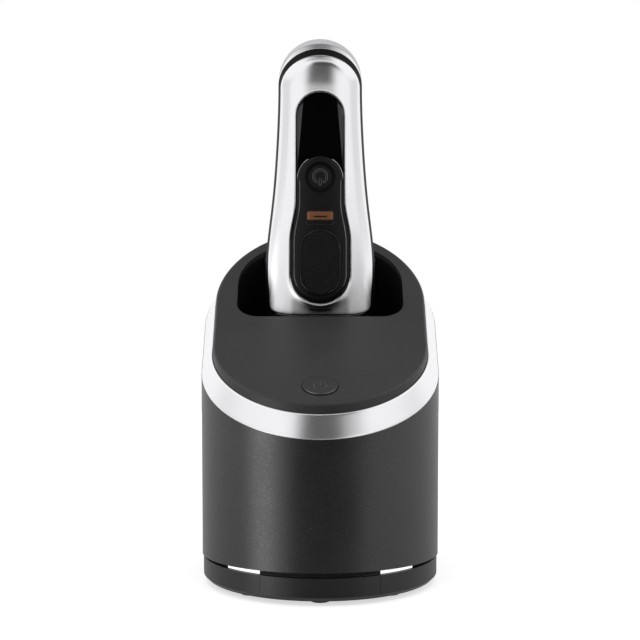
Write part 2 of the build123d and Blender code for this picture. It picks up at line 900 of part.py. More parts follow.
def supply_tube():
    level = deck_top + pump_height / 2
    turn_y = outlet_y() + tube_bend + plate_clearance
    rise = liner_floor - tube_drop
    end_y = dish_front + fit_gap
    route = [(outlet_y(), level), (turn_y, level), (turn_y, rise), (end_y, rise)]
    points = [(pump_x, y, z) for y, z in route]
    path = FilletPolyline(*points, radius=tube_bend)
    outer = sweep(Plane(origin=points[0], z_dir=(0, 1, 0)) * Circle(tube_radius), path=path)
    inner = sweep(Plane(origin=points[0], z_dir=(0, 1, 0)) * Circle(tube_bore), path=path)
    return outer - inner


def fan_case():
    high = deck_top + fan_height
    outline = RectangleRounded(fan_size, fan_size, fan_corner)
    case = Pos(fan_x, pump_y, deck_top) * extrude(outline, fan_height)
    case -= post(fan_x, pump_y, fan_size / 2 - fan_rim, deck_top - 1, high + 1)
    for angle in (45, 135):
        bar = Rot(0, 0, angle) * Box(fan_size + 2, fan_bar_width, fan_bar_height)
        case += Pos(fan_x, pump_y, deck_top + fan_bar_height / 2) * bar & post(
            fan_x, pump_y, fan_size / 2 - fan_rim / 3, deck_top, high)
    case += post(fan_x, pump_y, fan_hub_radius, deck_top, deck_top + fan_bar_height)
    case += post(fan_x, pump_y, shaft_radius, deck_top, high - fan_top_gap - fan_bore_rest - 0.1)
    corner = fan_size / 2 - fan_screw_inset
    for x in (-corner, corner):
        for y in (-corner, corner):
            case -= post(fan_x + x, pump_y + y, fan_screw_radius, deck_top - 1, high + 1)
    return case


def fan_rotor():
    low = deck_top + fan_low_gap
    high = deck_top + fan_height - fan_top_gap
    tip = fan_size / 2 - fan_tip_gap
    rotor = disc(fan_hub_radius, low, high)
    for blade in turned_blades(fan_blades, fan_blade_root, tip, low, high, blade_thickness, fan_pitch):
        rotor += blade
    rotor -= disc(shaft_radius + running_gap, low - 1, high - fan_bore_rest)
    return Pos(fan_x, pump_y, 0) * rotor


# ---------------------------------------------------------------- boards, buttons and sockets
def main_board():
    low = deck_top + standoff
    outline = RectangleRounded(board_width, board_length, board_corner)
    return Pos(0, board_y, low) * extrude(outline, board_thickness)


def board_parts():
    top = deck_top + standoff + board_thickness
    transformer_y = (board_y - transformer_half, board_y + transformer_half)
    parts = [box_between(transformer_x, transformer_y, (top, top + transformer_height))]
    for x in capacitor_x:
        can = post(x, board_y + capacitor_y, capacitor_radius, top, top + capacitor_height)
        parts.append(fillet(can.edges().group_by(Axis.Z)[-1], capacitor_edge))
    parts.append(box_between(chip_x, (board_y - chip_half, board_y + chip_half), (top, top + chip_height)))
    plug_range = (board_y + plug_y[0], board_y + plug_y[1])
    parts.append(box_between(plug_x, plug_range, (top, top + plug_height)))
    return parts


def start_board():
    board = Pos(0, 0, -start_board_depth - board_thickness / 2) * Box(
        start_board_width, start_board_length, board_thickness)
    cap_top = start_stem_low() - start_press - switch_gap
    switch_top = cap_top - switch_stem_show
    switch = Pos(0, 0, (switch_top - start_board_depth) / 2) * Box(
        switch_width, switch_width, start_board_depth + switch_top)
    cap = disc(switch_cap_radius, cap_top - switch_cap_height, cap_top)
    return start_plane() * (board + switch + cap)


def start_underside():
    return -cover_thickness * cos(radians(top_slope))


def start_stem_low():
    return start_underside() - start_flange_gap - start_flange - start_stem


def start_button():
    radius = start_hole_radius - start_gap
    flange_top = start_underside() - start_flange_gap
    cap = disc(radius, flange_top - 0.1, start_stand)
    cap = fillet(cap.edges().group_by(Axis.Z)[-1], start_edge)
    cap += disc(start_hole_radius + start_flange_width, flange_top - start_flange, flange_top)
    cap += disc(start_stem_radius, start_stem_low(), flange_top - start_flange + 0.1)
    return start_plane() * cap


def lift_button():
    clear = fit_gap
    corner = lift_button_height / 2 - lift_button_flat
    face = RectangleRounded(lift_button_width - 2 * clear, lift_button_height - 2 * clear, corner - clear)
    button = along_y(face, 0, lift_button_level, arc_y, body_depth)
    button &= plan_block(lift_button_sink, 0, reach) - plan_block(housing_wall + lift_button_depth, 0, reach)
    grow = lift_button_flange
    flange = RectangleRounded(lift_button_width + 2 * grow, lift_button_height + 2 * grow, corner + grow)
    back = along_y(flange, 0, lift_button_level, arc_y, body_depth)
    back &= plan_block(housing_wall + fit_gap, 0, reach)
    back -= plan_block(housing_wall + lift_button_depth, 0, reach)
    return button + back


def latch_hook():
    half = latch_width / 2
    bar_back = latch_y + latch_thickness
    top = lift_button_level + latch_arm
    bar = box_between((-half, half), (latch_y, bar_back), (latch_foot, top))
    nose = box_between((-half, half), (bar_back - seat_overlap, bar_back + latch_nose),
                       (latch_foot, latch_foot + hook_height))
    inner_y = arc_y + sqrt((body_radius - housing_wall - lift_button_depth) ** 2 - half ** 2)
    arm = box_between((-half, half), (latch_y, inner_y + latch_reach), (lift_button_level - latch_arm, top))
    arm -= plan_block(0, 0, reach) - plan_block(housing_wall + lift_button_depth, 0, reach)
    return bar + nose + arm


def power_inlet():
    body = along_y(inlet_outline(0), inlet_x, inlet_level, inlet_face - inlet_length, inlet_face)
    cavity = RectangleRounded(inlet_cavity_width, inlet_cavity_height, inlet_cavity_height / 2 - 0.1)
    body -= along_y(cavity, inlet_x, inlet_level, inlet_face - inlet_cavity, inlet_face + 1)
    foot = box_between((inlet_x - inlet_foot_half, inlet_x + inlet_foot_half),
                       (inlet_face - inlet_length, inlet_face - inlet_foot_rear),
                       (deck_top, inlet_level - inlet_height / 2 + seat_overlap))
    body += foot
    for pin_x in inlet_pin_places():
        body -= along_y(Circle(pin_radius), pin_x, inlet_level, 0, inlet_face - inlet_cavity + 1)
    return body


def inlet_pin_places():
    return [inlet_x - pin_spacing / 2, inlet_x + pin_spacing / 2]


def inlet_pins():
    pins = []
    for x in inlet_pin_places():
        pin = along_y(Circle(pin_radius - press_gap), x, inlet_level,
                      inlet_face - inlet_length - inlet_pin_back, inlet_face - inlet_pin_depth)
        pins.append(fillet(pin.edges().group_by(Axis.Y)[-1], inlet_pin_round))
    return pins


# ---------------------------------------------------------------- shaver
def docked(part):
    """Places a shaver piece, made in the shaver's own frame, in the dock."""
    place = Location((0, shaver_y, shaver_z), (-shaver_lean, 0, 0))
    if isinstance(part, list):
        return [place * piece for piece in part]
    return place * part


def handle_outline(inset, end):
    """Front view of the handle: a half ellipse on top, flowing sides and a rounded foot."""
    middle, rise = end
    half = handle_end_half - inset
    arch = EllipticalCenterArc((0, middle), half, rise, start_angle=0, arc_size=180)
    side = [
        (half, middle), (handle_mid_half - inset, handle_mid_z), (handle_low_half - inset, handle_low_z),
        (handle_wide_half - inset, handle_wide_z), (handle_foot_half - inset, handle_start + inset),
    ]
    slopes = [(0, -1), (-0.12, -1)]
    right = Spline(side, tangents=slopes)
    left = Spline([(-x, z) for x, z in side], tangents=[(-x, z) for x, z in slopes])
    foot = Line(side[-1], (-side[-1][0], side[-1][1]))
    outline = make_face(arch + right + left + foot)
    corners = outline.vertices().sort_by(Axis.Y)[:2]
    return fillet(corners, handle_corner)


def slab(outline, y_low, y_high):
    """An outline drawn in x and z, thick from y_low to y_high."""
    return Pos(0, y_high, 0) * extrude(Plane.XZ * outline, y_high - y_low)


def between_outlines(low_outline, y_low, high_outline, y_high):
    low = Pos(0, y_low, 0) * (Plane.XZ * low_outline)
    high = Pos(0, y_high, 0) * (Plane.XZ * high_outline)
    return loft([low, high], ruled=True)


def front_limit(sink):
    """Everything behind the handle's bulging front face, moved in by sink."""
    return bulge(-1, front_bulge - sink, front_bulge_z, front_bulge_radius)


def back_limit(sink):
    return bulge(1, back_bulge - sink, back_bulge_z, back_bulge_radius)


def bulge(side, distance, level, radius):
    """Space on the inner side of a wide arc whose crown is at distance on one side."""
    span = 120.0
    drop = radius - sqrt(radius ** 2 - span ** 2)
    crown = (side * distance, level)
    edge = side * (distance - drop)
    arc = ThreePointArc((edge, level - span), crown, (edge, level + span))
    far = -side * 40
    rest = Polyline((edge, level + span), (far, level + span), (far, level - span), (edge, level - span))
    return extrude(Plane.YZ * make_face(arc + rest), 60, both=True)


def hollow(y_low, y_high):
    return slab(handle_outline(shell_wall + silver_inset, inner_end), y_low, y_high)


def panel_outline(inset):
    """Front insert: a round arch, straight sides that swell beside the grip, and a round foot."""
    half = panel_half - inset
    wide = panel_wide_half - inset
    arch_z = panel_top - panel_half
    foot_z = panel_bottom + panel_wide_half
    arch = CenterArc((0, arch_z), half, 0, 180)
    foot = CenterArc((0, foot_z), wide, 180, 180)
    edges = arch + foot
    for side in (-1, 1):
        edges += Line((side * half, arch_z), (side * half, panel_taper_top))
        edges += Spline([(side * half, panel_taper_top), (side * wide, panel_taper_low)],
                        tangents=[(0, -1), (0, -1)])
        edges += Line((side * wide, panel_taper_low), (side * wide, foot_z))
    return make_face(edges)


def layer(outline, top_sink, low_sink):
    """A sheet that follows the bulging front, between two depths below the silver surface."""
    sheet = slab(outline, -front_bulge - 5, -front_bulge + 12)
    return (sheet & front_limit(top_sink)) - front_limit(low_sink)


def shaver_front_shell():
    outline = handle_outline(silver_inset, front_end)
    shell = slab(outline, -front_bulge - 1, band_front) & front_limit(0)
    rim = [e for e in shell.edges()
           if e.bounding_box().max.Y < band_front - 2 and e.bounding_box().size.length > 1]
    shell = fillet(rim, front_round)
    shell -= hollow(-front_bulge - 1, band_front + 1) & front_limit(shell_wall)
    return shell - slab(panel_outline(-panel_clearance), -front_bulge - 1, band_front + 1)


def shaver_side_band():
    band = between_outlines(
        handle_outline(silver_inset, front_end), band_front, handle_outline(0, band_end), band_back
    )
    return band - hollow(band_front - 1, band_back + 1)


def shaver_middle_frame():
    frame = between_outlines(
        handle_outline(0, band_end), band_back, handle_outline(cover_inward, frame_end), frame_back
    )
    return frame - hollow(band_back - 1, frame_back + 1)


def shaver_back_cover():
    outline = handle_outline(cover_inward, back_end)
    body = slab(outline, cover_full, back_bulge + 1) & back_limit(0)
    rim = [e for e in body.edges() if e.bounding_box().min.Y > cover_full + 2]
    body = fillet(rim, back_round)
    body += between_outlines(handle_outline(cover_inward, frame_end), frame_back, outline, cover_full)
    body -= hollow(frame_back - 1, back_bulge) & back_limit(shell_wall)
    pad_half = trimmer_half + rail_gap + rail_side
    body += box_between((-pad_half, pad_half), (back_bulge - back_pad_depth, back_bulge),
                        (handle_start + back_pad_low, back_pad_high))
    for side in (-1, 1):
        inner = side * (trimmer_half + rail_gap)
        rail = box_between((inner, side * pad_half),
                           (back_bulge - 1, back_bulge + trimmer_gap + trimmer_thickness),
                           (handle_start + back_pad_low, back_pad_high))
        body += rail
        body -= slab_disc(side * contact_x, contact_z, contact_radius + contact_rim + contact_show,
                          back_bulge - contact_sink, back_bulge + 1)
    return body


def slab_disc(x, z, radius, y_low, y_high):
    return slab(Pos(x, z) * Circle(radius), y_low, y_high)


def shaver_contacts():
    return [
        slab_disc(side * contact_x, contact_z, contact_radius + contact_rim,
                  back_bulge - contact_sink, back_bulge - contact_show)
        for side in (-1, 1)
    ]


def front_panel():
    return layer(panel_outline(0), panel_sink, panel_sink + panel_thickness)


def above(z):
    """Everything in the shaver's frame beyond z, towards the handle's end."""
    return box_between((-60, 60), (-60, 60), (z, 260))


def display_window():
    window = layer(panel_outline(display_margin), display_sink, panel_sink)
    return window & above(display_low) - strip_zone(display_gap)


def strip_outline(inset):
    half = panel_half - strip_margin - inset
    wide = panel_wide_half - strip_margin - inset
    arch_z = strip_top - (panel_half - strip_margin)
    foot_z = panel_bottom + panel_wide_half
    edges = CenterArc((0, arch_z), half, 0, 180) + CenterArc((0, foot_z), wide, 180, 180)
    for side in (-1, 1):
        edges += Line((side * half, arch_z), (side * half, panel_taper_top))
        edges += Spline([(side * half, panel_taper_top), (side * wide, panel_taper_low)],
                        tangents=[(0, -1), (0, -1)])
        edges += Line((side * wide, panel_taper_low), (side * wide, foot_z))
    return make_face(edges)


def strip_zone(grow):
    return slab(strip_outline(-grow), -60, 60)


def slider_slot():
    low = slider_z - slider_height / 2 - slider_travel - slider_gap
    high = slider_z + slider_height / 2 + slider_gap
    outline = RectangleRounded(slider_width + 2 * slider_side_gap, high - low, slot_corner)
    return slab(Pos(0, (low + high) / 2) * outline, -60, 60)


def grip_outline(grow):
    length = grip_high - grip_low + 2 * grow
    width = 2 * (grip_half + grow)
    return Pos(0, (grip_low + grip_high) / 2) * SlotOverall(length, width, rotation=90)


def control_strip():
    strip = layer(strip_outline(0), -strip_rise, panel_sink)
    strip -= slab_disc(0, power_z, power_radius + power_gap, -60, 60)
    strip -= slider_slot()
    return strip - slab(grip_outline(grip_gap), -60, 60)


def thumb_grip():
    return layer(grip_outline(0), -grip_rise, panel_sink)


def power_button():
    return layer(Pos(0, power_z) * Circle(power_radius), -power_rise, panel_sink - power_press - key_gap)


def lock_slider():
    outline = Pos(0, slider_z) * RectangleRounded(slider_width, slider_height, slider_corner)
    return layer(outline, -slider_rise, panel_sink - key_gap)


def shaver_neck():
    neck = box_between((-neck_half, neck_half), (-neck_half_depth, neck_half_depth),
                       (head_pivot_z + neck_low, handle_start + 0.2))
    neck = fillet(neck.edges().filter_by(Axis.Z), neck_corner)
    for side in (-1, 1):
        x = side * (neck_half - ear_width / 2)
        ear = box_between((x - ear_width / 2, x + ear_width / 2), (-ear_radius, ear_radius),
                          (head_pivot_z, handle_start - 2))
        ear += Pos(x, 0, head_pivot_z) * Rot(0, 90, 0) * Cylinder(ear_radius, ear_width)
        ear -= Pos(x, 0, head_pivot_z) * Rot(0, 90, 0) * Cylinder(pivot_radius + running_gap, ear_width + 2)
        neck += ear
    return neck - above(handle_start)


def shaver_motor():
    low = handle_start + shell_wall + silver_inset + fit_gap
    body = box_between((-shaver_motor_half, shaver_motor_half),
                       (-shaver_motor_depth / 2, shaver_motor_depth / 2),
                       (low, low + shaver_motor_length))
    return fillet(body.edges().filter_by(Axis.Z), shaver_motor_depth / 4)


def shaver_battery():
    y = cell_board_y + cell_board_thickness + fit_gap + battery_radius
    return Pos(0, y, battery_z) * Cylinder(battery_radius, battery_length)


def shaver_board():
    y_range = (cell_board_y, cell_board_y + cell_board_thickness)
    return box_between((-cell_board_half, cell_board_half), y_range, (cell_board_low, cell_board_high))


# ---------------------------------------------------------------- shaver head
def head_block(inset, low, high):
    outline = RectangleRounded(2 * (head_half - inset), 2 * (head_half_depth - inset), head_corner - inset)
    return Pos(0, 0, low) * extrude(outline, high - low)


def release_plan(grow):
    return box_between((-60, 60), (-release_width / 2 - grow, release_width / 2 + grow),
                       (release_z - release_height / 2 - grow, release_z + release_height / 2 + grow))


def head_frame():
    frame = head_block(0, head_low, head_high)
    frame = fillet(frame.edges().group_by(Axis.Z)[-1], head_edge)
    frame -= head_block(head_wall, head_low - 1, head_high + 1)
    frame -= release_plan(release_gap)
    for side in (-1, 1):
        x_low = neck_half - ear_width
        x_high = head_half - head_wall / 2
        pin = Rot(0, 90, 0) * Cylinder(pivot_radius, x_high - x_low)
        frame += Pos(side * (x_low + x_high) / 2, 0, head_pivot_z) * pin
    for side in (-1, 1):
        stop_low = cassette_high + float_travel + float_gap
        frame += box_between((-stop_half, stop_half),
                             (side * (head_half_depth - head_wall / 2),
                              side * (head_half_depth - stop_depth)),
                             (stop_low, stop_low + stop_height))
    return frame


def cassette_block(inset, low, high):
    gap = head_wall + float_gap + inset
    outline = RectangleRounded(2 * (head_half - gap), 2 * (head_half_depth - gap), head_corner - gap)
    return Pos(0, 0, low) * extrude(outline, high - low)


def foil_cassette():
    frame = cassette_block(0, cassette_low, cassette_high)
    half = head_half_depth - cassette_side
    frame -= box_between((-foil_half_length, foil_half_length), (-half, half),
                         (0, 30))
    return frame - release_pocket()


def release_pocket():
    """Room beside the cassette for the inner ends of the release buttons, wherever it floats."""
    inner = head_half - head_wall - release_room
    pocket = release_plan(release_gap) + Pos(0, 0, -float_travel) * release_plan(release_gap)
    return pocket - box_between((-inner, inner), (-60, 60), (-60, 60))


def half_round(radius, length, y):
    """The half of a rod along x that lies towards the foils' crest."""
    rod = Pos(0, y, foil_radius) * Rot(0, 90, 0) * Cylinder(radius, length)
    return rod & box_between((-60, 60), (-60, 60), (-1, foil_radius))


def foil_sheet(y):
    length = 2 * foil_half_length
    sheet = half_round(foil_radius, length, y) - half_round(foil_radius - foil_wall, length + 2, y)
    for side in (-1, 1):
        edge = y + side * (foil_radius - foil_wall / 2)
        sheet += box_between((-foil_half_length, foil_half_length),
                             (edge - foil_wall / 2, edge + foil_wall / 2),
                             (foil_radius - 0.1, cassette_high - 1))
    return sheet


def shaving_foils():
    return [foil_sheet(side * foil_y) for side in (-1, 1)]


def centre_trimmers():
    half = foil_y - foil_radius - trimmer_bar_gap
    return box_between((-foil_half_length, foil_half_length), (-half, half),
                       (trimmer_bar_low, cassette_high - 1))


def cutter_blocks():
    radius = foil_radius - foil_wall - cutter_gap
    length = 2 * (foil_half_length - cutter_end_gap)
    blocks = None
    for side in (-1, 1):
        block = half_round(radius, length, side * foil_y)
        block += box_between((-cutter_half, cutter_half),
                             (side * foil_y - cutter_stem_half, side * foil_y + cutter_stem_half),
                             (foil_radius - seat_overlap, cassette_high + seat_overlap))
        blocks = block if blocks is None else blocks + block
    link_half = foil_y + cutter_stem_half
    link = box_between((-cutter_half, cutter_half), (-link_half, link_half),
                       (cassette_high - 0.4, cassette_high + cutter_link))
    return blocks + link


def release_button(side):
    outer = head_half + release_rise
    inner = head_half - head_wall - release_root
    zone = release_plan(0)
    button = zone & box_between((side * inner, side * outer), (-60, 60), (-60, 60))
    crown = [e for e in button.edges() if abs(e.center().X) > outer - 0.01]
    return fillet(crown, release_edge)


def long_hair_trimmer():
    low_y = back_bulge + trimmer_gap
    plate = box_between((-trimmer_half, trimmer_half), (low_y, low_y + trimmer_thickness),
                        (trimmer_low, trimmer_high))
    plate = fillet(plate.edges().filter_by(Axis.Y).group_by(Axis.Z)[-1], trimmer_corner)
    pitch = 2 * trimmer_half / trimmer_teeth
    for number in range(trimmer_teeth):
        x = -trimmer_half + pitch * (number + 0.5)
        plate += box_between((x - pitch / 4, x + pitch / 4), (low_y, low_y + trimmer_tooth),
                             (trimmer_low - trimmer_tooth_length, trimmer_low + 0.1))
    thumb_top = trimmer_high - thumb_high
    thumb = box_between((-thumb_half, thumb_half),
                        (low_y + trimmer_thickness - 0.2, low_y + trimmer_thickness + thumb_rise),
                        (thumb_top - thumb_height, thumb_top))
    return plate + thumb


def nodes():
    """Every piece by its node name, in the station's frame."""
    station = {
        "base_tray": base_tray(),
        "base_front_plate": base_front_plate(),
        "rubber_feet": rubber_feet(),
        "guide_columns": guide_columns(),
        "lift_springs": lift_springs(),
        "cartridge_tank": cartridge_tank(),
        "cartridge_lid": cartridge_lid(),
        "cartridge_filter": cartridge_filter(),
        "housing_shell": housing_shell(),
        "ring_trim": ring_trim(),
        "top_cover": top_cover(),
        "inner_frame": inner_frame(),
        "light_windows": light_windows(),
        "chassis_deck": chassis_deck(),
        "guide_bushes": guide_bushes(),
        "chassis_screws": chassis_screws(),
        "dock_liner": dock_liner(),
        "cleaning_dish": cleaning_dish(),
        "dock_backrest": dock_backrest(),
        "charge_pins": charge_pins(),
        "pump_housing": pump_housing(),
        "pump_motor": pump_motor(),
        "pump_rotor": pump_rotor(),
        "suction_tube": suction_tube(),
        "supply_tube": supply_tube(),
        "fan_case": fan_case(),
        "fan_rotor": fan_rotor(),
        "main_board": main_board(),
        "board_parts": board_parts(),
        "start_board": start_board(),
        "start_button": start_button(),
        "lift_button": lift_button(),
        "latch_hook": latch_hook(),
        "power_inlet": power_inlet(),
        "inlet_pins": inlet_pins(),
    }
    shaver = {
        "shaver_front_shell": shaver_front_shell(),
        "shaver_side_band": shaver_side_band(),
        "shaver_middle_frame": shaver_middle_frame(),
        "shaver_back_cover": shaver_back_cover(),
        "shaver_contacts": shaver_contacts(),
        "front_panel": front_panel(),
        "display_window": display_window(),
        "control_strip": control_strip(),
        "thumb_grip": thumb_grip(),
        "power_button": power_button(),
        "lock_slider": lock_slider(),
        "shaver_neck": shaver_neck(),
        "shaver_motor": shaver_motor(),
        "shaver_battery": shaver_battery(),
        "shaver_board": shaver_board(),
        "head_frame": head_frame(),
        "foil_cassette": foil_cassette(),
        "shaving_foils": shaving_foils(),
        "centre_trimmers": centre_trimmers(),
        "cutter_blocks": cutter_blocks(),
        "release_button_left": release_button(-1),
        "release_button_right": release_button(1),
        "long_hair_trimmer": long_hair_trimmer(),
    }
    for name, part in shaver.items():
        station[name] = docked(part)
    return station


def write_nodes():
    os.makedirs("parts", exist_ok=True)
    for name, part in nodes().items():
        shape = Compound(children=part) if isinstance(part, list) else part
        export_step(shape, f"parts/{name}.step")


write_nodes()
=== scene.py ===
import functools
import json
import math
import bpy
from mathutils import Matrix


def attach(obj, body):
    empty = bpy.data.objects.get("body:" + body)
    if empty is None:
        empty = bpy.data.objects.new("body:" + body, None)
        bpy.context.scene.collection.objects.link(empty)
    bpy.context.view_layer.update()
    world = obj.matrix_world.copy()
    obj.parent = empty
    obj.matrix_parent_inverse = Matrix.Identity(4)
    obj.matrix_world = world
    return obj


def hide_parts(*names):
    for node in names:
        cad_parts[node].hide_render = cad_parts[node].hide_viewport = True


bl_info = {
    "name": "Shaver cleaning station",
    "version": (1, 0, 0),
    "blender": (4, 5, 0),
    "location": "View3D > Sidebar > Station",
    "description": "Finishes and detailed pieces of a cleaning station with a shaver standing in it",
    "category": "Object",
}

import bpy
import numpy as np
from mathutils import Vector

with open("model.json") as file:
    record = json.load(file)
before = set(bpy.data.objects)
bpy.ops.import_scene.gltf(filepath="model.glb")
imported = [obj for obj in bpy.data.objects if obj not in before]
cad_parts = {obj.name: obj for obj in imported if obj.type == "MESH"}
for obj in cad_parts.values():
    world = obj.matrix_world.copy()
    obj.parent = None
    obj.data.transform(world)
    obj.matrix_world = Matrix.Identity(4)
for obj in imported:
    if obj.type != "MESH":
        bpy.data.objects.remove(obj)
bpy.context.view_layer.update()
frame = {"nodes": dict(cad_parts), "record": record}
NODES = frame["nodes"]

MM = 0.001
QUARTER = math.pi / 2

# ------------------------------------------------------------------ sizes of the station, in millimetres
BODY_RADIUS = 59.0          # half the width; the plan is a long round
ARC_Y = 20.0                # middles of its two half circles, before and behind the origin
TOP_SLOPE = math.radians(22.2)
TOP_RADIUS = 560.0          # hollow curve of the rear half of the top
HOUSING_LEVEL = 105.0
RING_HEIGHT = 9.5
RING_INSET = 4.9
RING_BORE = 5.3
COVER_RISE = 4.5
COVER_LEVEL = HOUSING_LEVEL + RING_HEIGHT + COVER_RISE
START_Y = -57.8
START_RADIUS = 8.2
START_SPREAD = 0.74         # wider at the back, where it all but meets the cover
START_LIFT = 0.5            # its front lip above the cover
START_SINK = -0.03
START_EDGE_BACK = 0.08
START_EDGE_FRONT = 0.5

# ------------------------------------------------------------------ sizes of the shaver, in its own frame
# x across, y front to back with the front at -y, z from the foils to the handle's end
SHAVER_LEAN = math.radians(7.0)
SHAVER_PLACE = Vector((0.0, 28.0, 103.0))
FRONT_BULGE = 14.5
FRONT_BULGE_Z = 85.0
FRONT_BULGE_RADIUS = 1000.0
CROWN_REACH = 13.0          # beyond this the crown runs out straight
END_CURVE_Z = 141.5
END_CURVE_RADIUS = 75.0
BAND_FRONT = -4.5
BAND_BACK = -1.5
FRAME_BACK = 3.0
SILVER_INSET = 1.2
# each layer's round end is half an ellipse: height of its middle and its rise above that
FRONT_END = (141.0, 17.3)
BAND_END = (142.5, 19.5)
FRAME_END = (144.5, 20.6)
HANDLE_FOOT = 23.1
HANDLE_SIDE = [(HANDLE_FOOT, 27.2), (55.2, 27.9), (79.7, 25.2), (115.6, 22.4), (142.0, 21.6)]
FOOT_SLOPE = 0.10
FOOT_ROUND = 0.7
FOOT_CORNER_RISE = 4.6
SCOOP_TOP = 38.0            # the thumb scoop under the panel, its bead and its short groove
SCOOP_DEPTH = 0.25
BEAD_HEIGHT = 0.2
BEAD_OFFSET = 1.1
BEAD_WIDTH = 0.8
SMILE_DEPTH = 0.04
SMILE_OFFSET = 3.6
SMILE_WIDTH = 1.2
SMILE_HALF = 6.0
FOOT_CORNER = 11.0
PANEL_HALF = 12.5
PANEL_WIDE = 15.3
PANEL_TOP = 138.2
PANEL_BOTTOM = 30.1
PANEL_TAPER_TOP = 82.0
PANEL_TAPER_LOW = 62.0
STRIP_MARGIN = 1.0
STRIP_TOP = 105.7
GRIP_HALF = 10.9
GRIP_LOW = 33.9
GRIP_HIGH = 68.4
POWER_Z = 94.9
POWER_RADIUS = 8.0
SLIDER_Z = 75.0
SLIDER_WIDTH = 13.2
SLIDER_HEIGHT = 4.6
SLIDER_TRAVEL = 2.0
SLIDER_CORNER = 1.1
SLIDER_RISE = 0.7
LIP_ROUND = 0.18            # edge of the front shell's opening
STRIP_RISE = 0.3
STRIP_ROUND = 1.15
EDGE_LINE_INSET = 1.0
EDGE_LINE_LOW = 37.5        # the painted highlight wire along the strip's edge fades out at these heights
EDGE_LINE_HIGH = 95.0
EDGE_LINE_FADE = 9.0
EDGE_LINE_DIVE = 0.45
GRIP_RISE = 0.7
POWER_RISE = 0.45
BAND_THICKNESS = 2.0
FACET_HALF = 8.7            # half width between the display's facets at this height
FACET_Z = 134.3
FACET_SLOPE = -0.086
RIB_SLANT = 32.0            # degrees
DUST_REACH = 3.0

PANEL_FOOT_Z = PANEL_BOTTOM + PANEL_WIDE
STRIP_ARCH_Z = STRIP_TOP - PANEL_HALF + STRIP_MARGIN
PLATE_BACK = 1.4            # how far down the insert's plates reach
GLASS_GAP = 0.25            # between the display and the insert's outline
GLASS_TUCK = 8.0            # the display runs on this far behind the strip
GLASS_SINK = 0.5
GLASS_SEAT = 1.25           # and lies deeper behind the power key, up to GLASS_SEAT_TOP
GLASS_SEAT_TOP = POWER_Z + POWER_RADIUS + 2.0
GLASS_BACK = 1.42
KEY_GAP = 0.16
SLOT_GAP = 0.3
GRIP_GAP = 0.25
GRIP_RIM_INSET = 0.62
RIB_MARGIN = 1.1
MARK_RADII = (2.85, 3.85)   # of the power key's double ring
MARK_RISE = 0.3             # its middle above the key's
START_MARK_RADIUS = 3.1

# points along each stretch of the outlines
FOOT_COUNT = 14
SIDE_COUNT = 40
ARCH_COUNT = 48
ROUND_COUNT = 96
STRAIGHT_COUNT = 20
GLASS_ROWS = 64

# ------------------------------------------------------------------ the stage, in metres
CAMERA_PLACE = (0.0, -1.190406, 0.279839)
CAMERA_TILT = math.radians(7.25)
CAMERA_SENSOR = 36.0
CAMERA_FOCUS = 2377.0 / 640.0   # focal length in widths of the picture
TABLE_RADIUS = 0.42
TABLE_MIDDLE_Y = 0.08


# ------------------------------------------------------------------ what a user would change
class StationSettings(bpy.types.PropertyGroup):
    housing_colour: bpy.props.FloatVectorProperty(
        name="Housing", description="Colour of the housing, cover and base", subtype="COLOR", size=3,
        default=(0.0185, 0.0182, 0.0192), min=0.0, max=1.0)
    flake_size: bpy.props.FloatProperty(
        name="Flake size", description="Size of the metal flakes in the housing's finish, in millimetres",
        default=0.42, min=0.05, max=2.0)
    silver_colour: bpy.props.FloatVectorProperty(
        name="Silver", description="Colour of the silver coat on the trim ring and the shaver",
        subtype="COLOR", size=3, default=(0.93, 0.917, 0.937), min=0.0, max=1.0)
    ring_edge: bpy.props.FloatProperty(
        name="Ring edge", description="Rounding of the trim ring's two visible edges",
        default=0.0006, min=0.0001, max=0.002, unit="LENGTH", subtype="DISTANCE")


class ShaverSettings(bpy.types.PropertyGroup):
    crown_radius: bpy.props.FloatProperty(
        name="Crown", description="Radius of the shaver's front, seen from its end",
        default=0.042, min=0.03, max=1.0, unit="LENGTH", subtype="DISTANCE")
    edge_round: bpy.props.FloatProperty(
        name="Edge round", description="Rounding where the shaver's front turns into its sides",
        default=0.0046, min=0.001, max=0.008, unit="LENGTH", subtype="DISTANCE")
    copper_colour: bpy.props.FloatVectorProperty(
        name="Slider", description="Colour of the lock slider", subtype="COLOR", size=3,
        default=(0.33, 0.145, 0.075), min=0.0, max=1.0)
    rib_pitch: bpy.props.FloatProperty(
        name="Rib pitch", description="Distance between the slanted ribs of the thumb grip",
        default=0.00094, min=0.0003, max=0.003, unit="LENGTH", subtype="DISTANCE")


def station_settings():
    return bpy.context.scene.station


def shaver_settings():
    return bpy.context.scene.shaver


